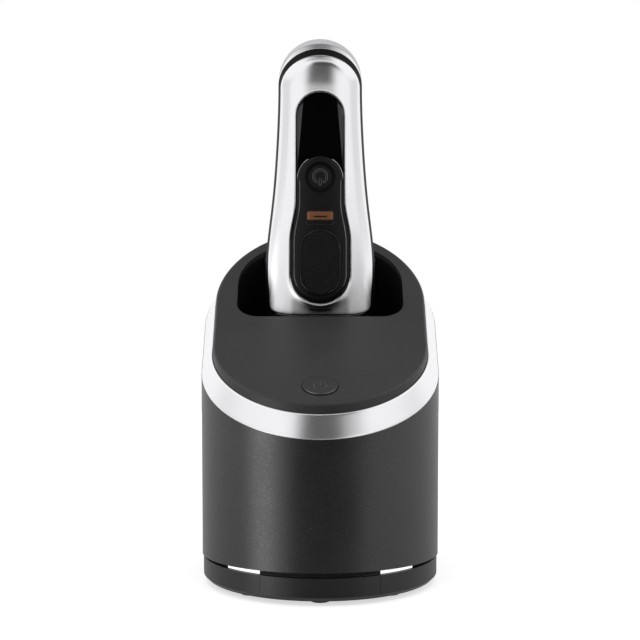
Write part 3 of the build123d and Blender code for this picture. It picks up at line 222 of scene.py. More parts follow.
# ------------------------------------------------------------------ node materials
class Nodes:
    """Builds a node tree; an input takes a number, a colour or another node's output."""

    def __init__(self, tree):
        self.tree = tree

    def put(self, node, name, value):
        if isinstance(value, bpy.types.NodeSocket):
            self.tree.links.new(value, node.inputs[name])
        else:
            node.inputs[name].default_value = value

    def add(self, kind, inputs=None, **settings):
        made = self.tree.nodes.new(kind)
        for key, value in settings.items():
            setattr(made, key, value)
        for name, value in (inputs or {}).items():
            self.put(made, name, value)
        return made

    def split(self, vector):
        return self.add("ShaderNodeSeparateXYZ", {0: vector}).outputs

    def math(self, operation, first, second=0.0):
        return self.add("ShaderNodeMath", {0: first, 1: second}, operation=operation).outputs[0]

    def plus(self, first, second):
        return self.math("ADD", first, second)

    def minus(self, first, second):
        return self.math("SUBTRACT", first, second)

    def times(self, *values):
        return functools.reduce(functools.partial(self.math, "MULTIPLY"), values)

    def span(self, value, low=0.3, high=0.7, to_low=0.0, to_high=1.0, kind="LINEAR"):
        ends = {"Value": value, "From Min": low, "From Max": high, "To Min": to_low, "To Max": to_high}
        return self.add("ShaderNodeMapRange", ends, interpolation_type=kind).outputs["Result"]

    def vary(self, pattern, low, high):
        """A soft pattern brought to the range from low to high."""
        return self.span(pattern, to_low=low, to_high=high)

    def smooth(self, value, low, high, to_low=0.0, to_high=1.0):
        return self.span(value, low, high, to_low, to_high, "SMOOTHSTEP")

    def window(self, value, low_outer, low_inner, high_outer, high_inner):
        """One between the two inner places, fading to nothing at the outer ones."""
        rise = self.smooth(value, low_outer, low_inner)
        return self.times(rise, self.smooth(value, high_outer, high_inner))


class Recipe(Nodes):
    """One procedural finish around a principled shader; lengths inside it are millimetres."""

    def __init__(self, name):
        self.material = bpy.data.materials.new(name)
        self.material.use_nodes = True
        super().__init__(self.material.node_tree)
        self.shader = self.tree.nodes["Principled BSDF"]
        own = self.add("ShaderNodeTexCoord").outputs["Object"]
        scaled = self.add("ShaderNodeVectorMath", {0: own, "Scale": 1 / MM}, operation="SCALE")
        self.place = scaled.outputs[0]

    def set(self, **values):
        for name, value in values.items():
            self.put(self.shader, name.replace("_", " "), value)

    def stretched(self, scale):
        """Coordinates scaled by a different amount along each axis."""
        return self.add("ShaderNodeMapping", {"Vector": self.place, "Scale": scale}).outputs[0]

    def noise(self, size, detail=3.0, rough=0.5, place=None):
        """Soft noise from 0 to 1, with features of about this size."""
        inputs = {"Vector": place or self.place, "Scale": 1 / size, "Detail": detail, "Roughness": rough}
        return self.add("ShaderNodeTexNoise", inputs).outputs["Fac"]

    def cells(self, size):
        """A random value for each cell of about this size."""
        made = self.add("ShaderNodeTexVoronoi", {"Vector": self.place, "Scale": 1 / size})
        return self.add("ShaderNodeSeparateColor", {0: made.outputs["Color"]}).outputs[0]

    def blend(self, factor, first, second):
        """A colour between two colours."""
        made = self.add("ShaderNodeMix", {0: factor}, data_type="RGBA")
        for index, value in ((6, first), (7, second)):
            self.put(made, index, (*value, 1.0) if isinstance(value, tuple) else value)
        return made.outputs[2]

    def mottle(self, pattern, colour, dark, light):
        """A colour made darker and lighter by a soft pattern."""
        return self.blend(self.span(pattern), shade(colour, dark), shade(colour, light))

    def bump(self, height, depth, before=None):
        """Relief of this depth in millimetres, on top of another relief if one is given."""
        made = self.add("ShaderNodeBump", {"Height": height, "Distance": depth * MM})
        if before is not None:
            self.put(made, "Normal", before)
        return made.outputs[0]

    def corner_dust(self, colour, dust, amount):
        """Dust that gathers where two surfaces meet."""
        hidden = self.add("ShaderNodeAmbientOcclusion", {"Distance": DUST_REACH * MM}, samples=6)
        patchy = self.times(self.span(hidden.outputs["AO"], 0.75, 0.2), self.noise(1.2, 4.0, 0.6), amount)
        return self.blend(patchy, colour, dust)


def shade(colour, amount):
    return tuple(min(1.0, channel * amount) for channel in colour[:3])


def moulded(name, colour, roughness=0.45, grain=0.25, depth=0.006, specular=0.5, flake=0.0, flake_size=0.4,
            painted_shade_below=None):
    """Moulded or soft-painted plastic: fine grain, slight patchiness and, if asked, metal flakes and
    painted shade below a given height.
    """
    recipe = Recipe(name)
    patches = recipe.noise(22.0)
    fine = recipe.noise(grain, 2.0, 0.6)
    tone = recipe.mottle(patches, colour, 0.93, 1.08)
    tone = recipe.blend(recipe.span(fine, 0.35, 0.65, 0.0, 0.25), tone, shade(colour, 1.35))
    rough = recipe.plus(recipe.vary(patches, -0.03, 0.03), recipe.vary(fine, -0.04, 0.05))
    if flake > 0:
        lots = recipe.cells(flake_size)
        tone = recipe.blend(recipe.span(lots, 0.86, 1.0, 0.0, flake), tone, (0.30, 0.30, 0.32))
        rough = recipe.minus(rough, recipe.span(lots, 0.8, 1.0, 0.0, 0.12))
    tone = recipe.corner_dust(tone, (0.12, 0.115, 0.11), 0.25)
    # painted shade: below this height in the station the colour fades to almost black, for the shade deep
    # inside the dock
    if painted_shade_below is not None:
        height = recipe.split(recipe.place)[2]
        tone = recipe.blend(recipe.span(height, painted_shade_below, painted_shade_below + 0.4), (0.006, 0.006, 0.006), tone)
    relief = recipe.bump(fine, depth, recipe.bump(recipe.noise(3.5, 2.0), depth * 2.0))
    recipe.set(Base_Color=tone, Roughness=recipe.plus(rough, roughness))
    recipe.set(Normal=relief, Specular_IOR_Level=specular)
    return recipe.material


def painted_foot_reflection(recipe):
    """Share of the handle's foot painted dark as a painted reflection of the black dock around it, by place
    on the handle.
    """
    across, depth, height = recipe.split(recipe.place)
    x = recipe.math("ABSOLUTE", across)
    back = recipe.times(recipe.minus(depth, SHAVER_PLACE.y), math.sin(SHAVER_LEAN))
    z = recipe.plus(back, recipe.times(recipe.minus(height, SHAVER_PLACE.z), math.cos(SHAVER_LEAN)))
    drop = recipe.math("MINIMUM", recipe.minus(z, PANEL_FOOT_Z), 0.0)
    square = recipe.plus(recipe.times(x, x), recipe.times(drop, drop))
    reach = recipe.minus(recipe.math("SQRT", square), PANEL_WIDE)
    # painted reflection and painted shade: dark down the foot's sides, in two patches beside the thumb
    # scoop and in a crescent under the insert
    side = recipe.times(recipe.smooth(x, 22.6, 26.4, 0.0, 0.95), recipe.smooth(z, 50.0, 33.0))
    hollow = recipe.times(recipe.smooth(x, 16.4, 12.8, 0.0, 0.55), recipe.smooth(z, 35.0, 31.0),
                          recipe.smooth(reach, 1.2, 2.4))
    smile = recipe.times(recipe.window(reach, 1.7, 3.4, 5.6, 3.9), recipe.smooth(x, 8.8, 4.6, 0.0, 0.9))
    return recipe.math("MAXIMUM", side, recipe.math("MAXIMUM", hollow, smile))


def silver_coat(name, colour, roughness=0.26, foot=False):
    """Satin silver lacquer: very fine flakes under a faintly wavy clear coat; with foot, a painted
    reflection of the dark dock on the handle's foot.
    """
    recipe = Recipe(name)
    flakes = recipe.cells(0.12)
    patches = recipe.noise(14.0)
    tone = recipe.blend(recipe.span(flakes, 0.0, 1.0), shade(colour, 0.93), shade(colour, 1.04))
    tone = recipe.blend(recipe.vary(patches, 0.0, 0.5), tone, shade(colour, 0.97))
    # painted reflection: the foot goes towards black where it would mirror the dark dock
    if foot:
        tone = recipe.blend(painted_foot_reflection(recipe), tone, (0.004, 0.004, 0.004))
    rough = recipe.span(recipe.plus(flakes, patches), 0.4, 1.6, roughness - 0.03, roughness + 0.05)
    waves = recipe.bump(recipe.noise(2.6, 2.0), 0.00144)
    recipe.set(Base_Color=tone, Metallic=1.0, Roughness=rough)
    recipe.set(Normal=recipe.bump(recipe.noise(0.16, 1.0), 0.0035, waves))
    return recipe.material


def polished(name, colour, roughness=0.06, coat=0.0, specks=0.35, specular=0.5):
    """Glossy moulding or glass with hair-fine wipe marks and a little dust."""
    recipe = Recipe(name)
    wipes = recipe.noise(0.9, 4.0, 0.6, recipe.stretched((1.0, 1.0, 0.06)))
    smears = recipe.noise(9.0)
    dust = recipe.span(recipe.cells(0.55), 0.975, 1.0, 0.0, specks)
    rough = recipe.plus(recipe.span(wipes, 0.4, 0.7, 0.0, 0.03), recipe.vary(smears, 0.0, 0.03))
    recipe.set(Base_Color=recipe.blend(dust, recipe.mottle(smears, colour, 0.9, 1.1), (0.10, 0.10, 0.105)))
    recipe.set(Roughness=recipe.plus(rough, roughness), Normal=recipe.bump(wipes, 0.0006))
    recipe.set(Specular_IOR_Level=specular, Coat_Weight=coat, Coat_Roughness=0.03)
    return recipe.material


def ground_metal(name, colour, roughness=0.3, along=(1.0, 1.0, 0.02), line=0.12):
    """Metal with fine lines from turning, grinding or drawing."""
    recipe = Recipe(name)
    lines = recipe.noise(line, 3.0, 0.6, recipe.stretched(along))
    tone = recipe.mottle(lines, colour, 0.82, 1.1)
    tone = recipe.blend(recipe.span(recipe.noise(6.0, 4.0), 0.5, 0.8, 0.0, 0.35), tone, shade(colour, 0.7))
    rough = recipe.span(lines, 0.2, 0.8, roughness - 0.06, roughness + 0.1)
    recipe.set(Base_Color=tone, Metallic=1.0, Roughness=rough, Normal=recipe.bump(lines, 0.004))
    return recipe.material


def soft_rubber(name, colour, roughness=0.62, specular=0.5):
    """Rubber or silicone with a powdery skin."""
    recipe = Recipe(name)
    skin = recipe.noise(0.35, 4.0, 0.6)
    tone = recipe.corner_dust(recipe.mottle(skin, colour, 0.85, 1.25), (0.16, 0.15, 0.14), 0.4)
    rough = recipe.vary(skin, roughness - 0.06, roughness + 0.1)
    recipe.set(Base_Color=tone, Roughness=rough)
    recipe.set(Normal=recipe.bump(skin, 0.012), Specular_IOR_Level=specular)
    return recipe.material


def felt(name, colour):
    recipe = Recipe(name)
    fibres = recipe.noise(0.5, 5.0, 0.7, recipe.stretched((1.0, 0.35, 1.6)))
    blotch = recipe.span(recipe.noise(5.0), 0.45, 0.75, 0.0, 0.3)
    tone = recipe.blend(blotch, recipe.mottle(fibres, colour, 0.72, 1.08), (0.42, 0.47, 0.5))
    recipe.set(Base_Color=tone, Roughness=0.95, Normal=recipe.bump(fibres, 0.25), Sheen_Weight=0.3)
    return recipe.material


def clear_tint(name, colour):
    """Tinted see-through moulding."""
    recipe = Recipe(name)
    flow = recipe.noise(7.0)
    rough = recipe.vary(recipe.noise(0.4, 2.0), 0.12, 0.22)
    recipe.set(Base_Color=recipe.mottle(flow, colour, 0.93, 1.05), Roughness=rough)
    recipe.set(Normal=recipe.bump(flow, 0.03), Transmission_Weight=0.55, IOR=1.49)
    return recipe.material


def milky_window(name):
    recipe = Recipe(name)
    # painted light: the window glows with its own colour, with no lamp behind it, so it shows white inside
    # the shaded gap
    cloud = recipe.noise(3.0)
    glow = recipe.blend(recipe.span(cloud), (0.93, 0.94, 0.96), (0.99, 0.99, 1.0))
    recipe.set(Base_Color=glow, Roughness=recipe.vary(cloud, 0.22, 0.34), Emission_Color=glow)
    recipe.set(Normal=recipe.bump(recipe.noise(0.3, 2.0), 0.003), Emission_Strength=0.75)
    return recipe.material


def lacquered_board(name):
    """Green board with copper tracks under the lacquer."""
    recipe = Recipe(name)
    layout = {"Vector": recipe.place, "Scale": 0.42, "Mortar Size": 0.09, "Brick Width": 1.3,
              "Row Height": 0.4}
    tracks = recipe.span(recipe.add("ShaderNodeTexBrick", layout).outputs["Fac"], 0.2, 0.8)
    tone = recipe.blend(tracks, (0.012, 0.085, 0.035), (0.03, 0.17, 0.07))
    joints = recipe.add("ShaderNodeTexVoronoi", {"Vector": recipe.place, "Scale": 1 / 1.6})
    dots = recipe.span(joints.outputs["Distance"], 0.22, 0.16)
    recipe.set(Base_Color=recipe.blend(dots, tone, (0.62, 0.60, 0.55)), Metallic=recipe.times(dots, 0.9))
    recipe.set(Roughness=recipe.vary(recipe.noise(2.0), 0.25, 0.4), Normal=recipe.bump(tracks, 0.03))
    return recipe.material


def perforated_foil(name, colour):
    """Thin steel foil with rows of small holes."""
    recipe = Recipe(name)
    rows = {"Vector": recipe.place, "Scale": 1.25, "Randomness": 0.0}
    holes = recipe.smooth(recipe.add("ShaderNodeTexVoronoi", rows).outputs["Distance"], 0.36, 0.30)
    lines = recipe.noise(0.1, 2.0, 0.5, recipe.stretched((0.05, 1.0, 1.0)))
    tone = recipe.mottle(lines, colour, 0.85, 1.0)
    recipe.set(Base_Color=recipe.blend(holes, tone, (0.012, 0.012, 0.012)))
    recipe.set(Metallic=recipe.span(holes, 0.0, 1.0, 1.0, 0.0))
    recipe.set(Roughness=recipe.span(lines, 0.2, 0.8, 0.2, 0.34))
    recipe.set(Normal=recipe.bump(recipe.minus(1.0, holes), 0.08))
    return recipe.material


def wrapped_cell(name):
    recipe = Recipe(name)
    shrink = recipe.noise(1.5, 3.0, 0.5, recipe.stretched((1.0, 1.0, 0.3)))
    tone = recipe.blend(recipe.span(shrink), (0.03, 0.14, 0.2), (0.045, 0.18, 0.25))
    recipe.set(Base_Color=tone, Roughness=recipe.vary(shrink, 0.2, 0.34), Normal=recipe.bump(shrink, 0.05))
    return recipe.material


FINISHES = {}


def make_finishes():
    station, shaver = station_settings(), shaver_settings()
    grey = tuple(station.housing_colour)
    silver = tuple(station.silver_colour)
    flake_size = station.flake_size
    FINISHES.update({
        "housing_grey": moulded("housing flake grey", shade(grey, 0.5), 0.31, 0.3, 0.004, 0.92, flake=0.08,
                                flake_size=flake_size),
        "cover_grey": moulded("cover satin grey", shade(grey, 0.98), 0.46, 0.22, 0.004, 0.6, 0.03, 0.3),
        "base_grey": moulded("base satin grey", shade(grey, 0.62), 0.36, 0.25, 0.004, 0.55),
        "lift_button_grey": moulded("lift button grey", shade(grey, 1.6), 0.4, 0.25, 0.006),
        "ring_silver": silver_coat("ring silver coat", silver, 0.21),
        # the handle's coat carries the painted reflection of the dock on its foot
        "shaver_silver": silver_coat("handle silver coat", shade(silver, 1.0), 0.18, foot=True),
        "shaver_grey": silver_coat("handle frame silver", shade(silver, 0.96), 0.2),
        "head_silver": silver_coat("head frame silver", shade(silver, 0.8), 0.28),
        "button_silver": silver_coat("release button silver", shade(silver, 0.8), 0.26),
        # painted shade: the back goes near black below 133 mm, where it stands deep in the dock
        "shaver_back": moulded("handle back pale grey", (0.43, 0.43, 0.45), 0.4, 0.2, 0.004, 0.5,
                               painted_shade_below=133.0),
        "shaver_black": polished("handle stripe black", (0.0042, 0.0042, 0.0045), 0.3, 0.0, 0.0, 0.1),
        "display_black": polished("display black", (0.0009, 0.0009, 0.0010), 0.05, 0.0, 0.0, 0.012),
        "dock_gloss": polished("backrest black", (0.004, 0.004, 0.0045), 0.1),
        "dish_black": polished("dish black", (0.008, 0.008, 0.009), 0.18),
        "dock_black": moulded("dock liner black", (0.0045, 0.0045, 0.005), 0.5, 0.3, 0.006, 0.3),
        "inner_black": moulded("inner black", (0.0035, 0.0035, 0.0035), 0.6, 0.3, 0.006, 0.25),
        "strip_black": moulded("control strip black", (0.0046, 0.0044, 0.0047), 0.3, 0.18, 0.003, 0.2),
        "grip_black": soft_rubber("thumb grip rubber", (0.0012, 0.0012, 0.0013), 0.5, 0.05),
        "slider_copper": silver_coat("slider copper coat", tuple(shaver.copper_colour), 0.34),
        "foot_rubber": soft_rubber("foot rubber", (0.014, 0.014, 0.014)),
        "steel": ground_metal("guide steel", (0.60, 0.60, 0.62), 0.24),
        "spring_steel": ground_metal("spring steel", (0.42, 0.42, 0.44), 0.32, (1.0, 1.0, 1.0), 0.2),
        "pin_brass": ground_metal("plated contact", (0.80, 0.62, 0.33), 0.22, (1.0, 0.05, 1.0)),
        "foil_steel": perforated_foil("shaving foil", (0.72, 0.72, 0.73)),
        "tank_plastic": clear_tint("tank plastic", (0.50, 0.62, 0.70)),
        "lid_plastic": moulded("tank lid blue", (0.018, 0.05, 0.13), 0.38, 0.3, 0.006),
        "filter_felt": felt("filter felt", (0.62, 0.61, 0.56)),
        "window_white": milky_window("milky window"),
        "bush_plastic": moulded("bush ivory", (0.55, 0.52, 0.44), 0.4, 0.3, 0.006),
        "pump_plastic": moulded("pump ivory", (0.50, 0.49, 0.45), 0.42, 0.3, 0.006),
        "tube_rubber": soft_rubber("tube silicone", (0.42, 0.41, 0.38), 0.5),
        "fan_black": moulded("fan black", (0.012, 0.012, 0.013), 0.4),
        "part_black": moulded("chip black", (0.010, 0.010, 0.010), 0.5),
        "board_green": lacquered_board("board lacquer"),
        "latch_plastic": moulded("latch black", (0.018, 0.018, 0.018), 0.42),
        "inlet_black": moulded("socket black", (0.010, 0.010, 0.010), 0.45),
        "neck_black": moulded("neck black", (0.010, 0.010, 0.010), 0.42),
        "cassette_black": moulded("cassette black", (0.014, 0.014, 0.014), 0.4),
        "trimmer_black": moulded("trimmer black", (0.016, 0.016, 0.017), 0.4),
        "cell_metal": wrapped_cell("wrapped cell"),
        "key_black": moulded("power key black", (0.0020, 0.0020, 0.0021), 0.26, 0.16, 0.002, 0.1),
        "panel_black": polished("panel bed black", (0.0020, 0.0020, 0.0022), 0.07, 0.0, 0.0, 0.25),
        "facet_grey": polished("display facet grey", (0.028, 0.0275, 0.029), 0.22, 0.0, 0.0, 0.5),
        # painted highlights: light wires standing in for the highlights on the strip's edges, its arch and
        # the start key's lip
        "edge_grey": silver_coat("strip edge highlight grey", shade(silver, 0.17), 0.36),
        "slot_grey": moulded("slot rim grey", (0.020, 0.019, 0.020), 0.35, 0.2, 0.002, 0.4),
        "rib_grey": soft_rubber("grip rib rubber", (0.030, 0.030, 0.0312), 0.5, 0.2),
        "mark_grey": moulded("start mark grey", shade(grey, 3.2), 0.4, 0.2, 0.002),
        "rim_black": polished("grip rim black", (0.006, 0.006, 0.0065), 0.14, 0.2, 0.0),
        "icon_grey": moulded("engraved mark grey", (0.15, 0.15, 0.155), 0.35, 0.2, 0.002),
        # painted highlight: silver for the wires that stand in for highlights
        "arc_silver": silver_coat("strip arc highlight silver", shade(silver, 0.42), 0.2),
    })


def dress(node, finish):
    """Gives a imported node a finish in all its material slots."""
    target = NODES[node]
    if not target.data.materials:
        target.data.materials.append(FINISHES[finish])
    for index in range(len(target.data.materials)):
        target.data.materials[index] = FINISHES[finish]


# ------------------------------------------------------------------ mesh building
def add_piece(name, points, faces, finish, body, node=None, sharp=45.0):
    """A mesh piece from points in millimetres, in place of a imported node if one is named."""
    mesh = bpy.data.meshes.new(name)
    mesh.from_pydata([tuple(c * MM for c in point) for point in points], [], faces)
    mesh.validate()
    mesh.polygons.foreach_set("use_smooth", [True] * len(mesh.polygons))
    mesh.set_sharp_from_angle(angle=math.radians(sharp))
    piece = bpy.data.objects.new(name, mesh)
    bpy.context.scene.collection.objects.link(piece)
    mesh.materials.append(FINISHES[finish])
    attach(piece, body)
    if node:
        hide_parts(node)
    return piece


class Surface:
    """Collects rings of points and joins them with faces."""

    def __init__(self):
        self.points = []
        self.faces = []

    def ring(self, points):
        start = len(self.points)
        self.points.extend(points)
        return list(range(start, start + len(points)))

    def join(self, first, second):
        for index in range(len(first)):
            after = (index + 1) % len(first)
            self.faces.append((first[index], first[after], second[after], second[index]))

    def stack(self, rings):
        """Joins rings of points one after the other and gives the indices of each."""
        made = [self.ring(points) for points in rings]
        for first, second in zip(made, made[1:]):
            self.join(first, second)
        return made

    def tube(self, rings):
        """Joins the rings, and the last one back to the first."""
        made = self.stack(rings)
        self.join(made[-1], made[0])

    def close_ends(self, made):
        self.faces.append(tuple(reversed(made[0])))
        self.faces.append(tuple(made[-1]))

    def cap(self, ring, turned=False):
        """Closes a ring with a fan round its middle point."""
        middle = np.mean([self.points[index] for index in ring], axis=0)
        self.points.append(tuple(middle))
        centre = len(self.points) - 1
        for first, second in zip(ring, ring[1:] + ring[:1]):
            self.faces.append((second, first, centre) if turned else (first, second, centre))

    def cap_both(self, made):
        self.cap(made[0], turned=True)
        self.cap(made[-1])


def merge(surfaces):
    whole = Surface()
    for part in surfaces:
        start = len(whole.points)
        whole.points.extend(part.points)
        whole.faces.extend(tuple(index + start for index in face) for face in part.faces)
    return whole


def arc(middle, radii, start, sweep, count, last=False):
    """Points along part of an ellipse; the one at its end is left out unless it is asked for."""
    points = []
    for index in range(count + 1 if last else count):
        angle = start + sweep * index / count
        points.append((middle[0] + radii[0] * math.cos(angle), middle[1] + radii[1] * math.sin(angle)))
    return points


def run(first, last, count):
    """Points along a straight line, without its end."""
    return [tuple(a + (b - a) * index / count for a, b in zip(first, last)) for index in range(count)]


def open_ring(radius, gap, count):
    """A ring left open over the angle gap to each side of its start."""
    angles = [gap + (2 * math.pi - 2 * gap) * index / count for index in range(count + 1)]
    return [(radius * math.sin(angle), radius * math.cos(angle)) for angle in angles]


def eased(value, low, high):
    """From 0 to 1 as value goes from low to high, with soft ends."""
    t = min(1.0, max(0.0, (value - low) / (high - low)))
    return 3 * t ** 2 - 2 * t ** 3


def corner_steps(start, corner, end, count=4):
    """Points of a soft corner, as a curve from start to end that leans towards the corner."""
    steps = []
    for index in range(count + 1):
        t = index / count
        weights = ((1 - t) ** 2, 2 * t * (1 - t), t ** 2)
        steps.append(tuple(sum(w * p for w, p in zip(weights, ends)) for ends in zip(start, corner, end)))
    return steps


def top_height(y, level):
    """Height of the sloping top at y, for a surface that passes through level at the slope's end."""
    if y <= -ARC_Y:
        return level + (y + ARC_Y) * math.tan(TOP_SLOPE)
    centre_y = -ARC_Y - TOP_RADIUS * math.sin(TOP_SLOPE)
    centre_z = level + TOP_RADIUS * math.cos(TOP_SLOPE)
    return centre_z - math.sqrt(TOP_RADIUS ** 2 - (y - centre_y) ** 2)


def long_round(inset):
    """The station's plan, drawn in from its outer wall, anticlockwise seen from above."""
    radius = BODY_RADIUS - inset
    points = []
    for side in (-1, 1):
        reach = -side * radius
        points += arc((0.0, side * ARC_Y), (reach, reach), math.pi, math.pi, ROUND_COUNT)
        points += run((reach, side * ARC_Y), (reach, -side * ARC_Y), STRAIGHT_COUNT)
    return points


def trim_ring():
    """The bevelled silver ring, with both of its visible edges softly rounded."""
    edge = station_settings().ring_edge / MM
    lean = edge * RING_INSET / RING_HEIGHT
    low, high = HOUSING_LEVEL, HOUSING_LEVEL + RING_HEIGHT
    profile = [(RING_BORE, low)]
    profile += corner_steps((edge * 0.6, low), (0.0, low), (lean, low + edge))
    profile += [(RING_INSET * t, low + RING_HEIGHT * t) for t in (0.15, 0.3, 0.45, 0.6, 0.75, 0.87)]
    profile += corner_steps((RING_INSET - lean, high - edge), (RING_INSET, high), (RING_BORE - 0.05, high))
    profile += [(RING_BORE, high - 0.2), (RING_BORE, low + 0.1)]
    surface = Surface()
    surface.tube([[(x, y, top_height(y, level)) for x, y in long_round(inset)] for inset, level in profile])
    add_piece("silver_trim_ring", surface.points, surface.faces, "ring_silver", "housing", "ring_trim", 50)


# ------------------------------------------------------------------ shaver outlines and surfaces
def docked(point):
    """A point of the shaver's own frame, in the station's frame."""
    x, y, z = point
    lean_y, lean_z = math.cos(SHAVER_LEAN), math.sin(SHAVER_LEAN)
    return (SHAVER_PLACE.x + x, SHAVER_PLACE.y + y * lean_y + z * lean_z,
            SHAVER_PLACE.z - y * lean_z + z * lean_y)


def side_curve(knots, low_slope, high_slope):
    """A smooth curve through the knots, with a given slope at each end."""
    places, values = np.array(knots).T
    steps = np.diff(places)
    rates = np.diff(values) / steps ** 2
    count = len(knots)
    matrix = np.eye(count)
    right = np.zeros(count)
    right[0], right[-1] = low_slope, high_slope
    for i in range(1, count - 1):
        before, after = 1 / steps[i - 1], 1 / steps[i]
        matrix[i, i - 1:i + 2] = before, 2 * before + 2 * after, after
        right[i] = 3 * (rates[i - 1] + rates[i])
    slopes = np.linalg.solve(matrix, right)

    def value(z):
        i = int(np.clip(np.searchsorted(places, z) - 1, 0, count - 2))
        t = min(1.0, max(0.0, (z - places[i]) / steps[i]))
        bend = (t ** 3 - 2 * t ** 2 + t) * slopes[i] + (t ** 3 - t ** 2) * slopes[i + 1]
        share = 3 * t ** 2 - 2 * t ** 3
        return (1 - share) * values[i] + share * values[i + 1] + bend * steps[i]
    return value


HANDLE_HALF = side_curve(HANDLE_SIDE, FOOT_SLOPE, 0.0)


def closed_outline(half_side):
    """Mirrors the right half of an outline, from the middle of its foot to the middle of its top."""
    return half_side + [(-x, z) for x, z in reversed(half_side[1:-1])]


def handle_outline(inset, end):
    middle, rise = end
    foot = HANDLE_FOOT + inset * 0.6
    corner_z = foot + FOOT_CORNER_RISE
    corner_x = HANDLE_HALF(corner_z) - inset - FOOT_CORNER
    top_z, top_half = HANDLE_SIDE[-1]
    half = run((0.0, foot), (corner_x, foot), FOOT_COUNT)
    half += arc((corner_x, corner_z), (FOOT_CORNER, FOOT_CORNER_RISE), -QUARTER, QUARTER, FOOT_COUNT)
    for index in range(SIDE_COUNT):
        z = corner_z + (middle - corner_z) * index / SIDE_COUNT
        half.append((HANDLE_HALF(min(z, top_z)) - inset, z))
    half += arc((0.0, middle), (top_half - inset, rise), 0.0, QUARTER, ARCH_COUNT)
    return closed_outline(half + [(0.0, middle + rise)])


def panel_outline(inset, top=PANEL_TOP):
    """The long insert's outline: round arch, sides that swell beside the grip, round foot."""
    narrow, wide = PANEL_HALF - inset, PANEL_WIDE - inset
    arch_z = top - PANEL_HALF
    half = arc((0.0, PANEL_FOOT_Z), (wide, wide), -QUARTER, QUARTER, 2 * FOOT_COUNT)
    half[0] = (0.0, PANEL_FOOT_Z - wide)
    for index in range(SIDE_COUNT):
        z = PANEL_FOOT_Z + (arch_z - PANEL_FOOT_Z) * index / SIDE_COUNT
        half.append((wide + (narrow - wide) * eased(z, PANEL_TAPER_LOW, PANEL_TAPER_TOP), z))
    half += arc((0.0, arch_z), (narrow, narrow), 0.0, QUARTER, ARCH_COUNT)
    return closed_outline(half + [(0.0, arch_z + narrow)])


def strip_outline():
    return panel_outline(STRIP_MARGIN, STRIP_TOP + STRIP_MARGIN)


def circle_outline(radius, level):
    half = arc((0.0, level), (radius, radius), -QUARTER, math.pi, ARCH_COUNT)
    half[0] = (0.0, level - radius)
    return closed_outline(half + [(0.0, level + radius)])


def pill_outline(half, low, high, corner, count=16):
    """An upright or lying rounded rectangle."""
    right = [(0.0, low)]
    for level, start in ((low + corner, -QUARTER), (high - corner, 0.0)):
        right += arc((half - corner, level), (corner, corner), start, QUARTER, count, last=True)
    return closed_outline(right + [(0.0, high)])


def front_y(x, z, sink=0.0):
    """Where the shaver's crowned front lies, or a surface this far behind it."""
    radius = shaver_settings().crown_radius / MM
    near = min(abs(x), CROWN_REACH)
    across = near ** 2 / (2 * radius) + (abs(x) - near) * CROWN_REACH / radius
    along = (z - FRONT_BULGE_Z) ** 2 / (2 * FRONT_BULGE_RADIUS)
    end = max(0.0, z - END_CURVE_Z) ** 2 / (2 * END_CURVE_RADIUS)
    return -FRONT_BULGE + along + across + end + sink


def on_front(outline, sink):
    return [(x, front_y(x, z, sink), z) for x, z in outline]


def edge_distance(points, outline):
    """Shortest distance from each point to an outline."""
    a = np.array(outline)
    b = np.roll(a, -1, axis=0)
    p = np.array(points)[:, None, :]
    along = np.clip(((p - a) * (b - a)).sum(2) / ((b - a) ** 2).sum(1), 0, 1)
    return np.sqrt((((a + along[..., None] * (b - a)) - p) ** 2).sum(2)).min(1)


def between(first, second, t):
    return [(a[0] + (b[0] - a[0]) * t, a[1] + (b[1] - a[1]) * t) for a, b in zip(first, second)]


def rolled_edge(distance, width, depth=None, ease=2.0):
    """Fall of a surface at a distance from its edge, round like part of an ellipse."""
    if distance >= width:
        return 0.0
    fall = 1 - math.sqrt(max(0.0, 1 - (1 - distance / width) ** ease))
    return fall * (width if depth is None else depth)


def scoop(x, z):
    """Thumb scoop under the panel and the raised bead that follows the panel's foot."""
    reach = math.hypot(x, min(0.0, z - PANEL_FOOT_Z)) - PANEL_WIDE
    fade = 1.0 / (1.0 + math.exp((z - SCOOP_TOP) / 3.0))
    bead = BEAD_HEIGHT * math.exp(-((reach - BEAD_OFFSET) / BEAD_WIDTH) ** 2)
    groove = SMILE_DEPTH * math.exp(-((reach - SMILE_OFFSET) / SMILE_WIDTH) ** 2 - (x / SMILE_HALF) ** 4)
    hollow = SCOOP_DEPTH * math.exp(-(x / 16.0) ** 6) * (1 - math.exp(-(max(0.0, reach) / 2.6) ** 2))
    return (hollow + groove - bead) * fade


def edge_radius(z):
    """The front's edge is softly round along the sides and crisp along the foot."""
    full = shaver_settings().edge_round / MM
    return FOOT_ROUND + (full - FOOT_ROUND) * eased(z, HANDLE_FOOT + 6.0, HANDLE_FOOT + 22.0)


def edge_depth(x, z):
    """How far the front's edge may fall before it meets the black stripe."""
    return max(0.2, min(edge_radius(z), BAND_FRONT - 0.3 - front_y(x, z)))


def shaver_piece(name, surface, finish, body, node=None, sharp=45.0):
    points = [docked(point) for point in surface.points]
    return add_piece(name, points, surface.faces, finish, body, node, sharp)


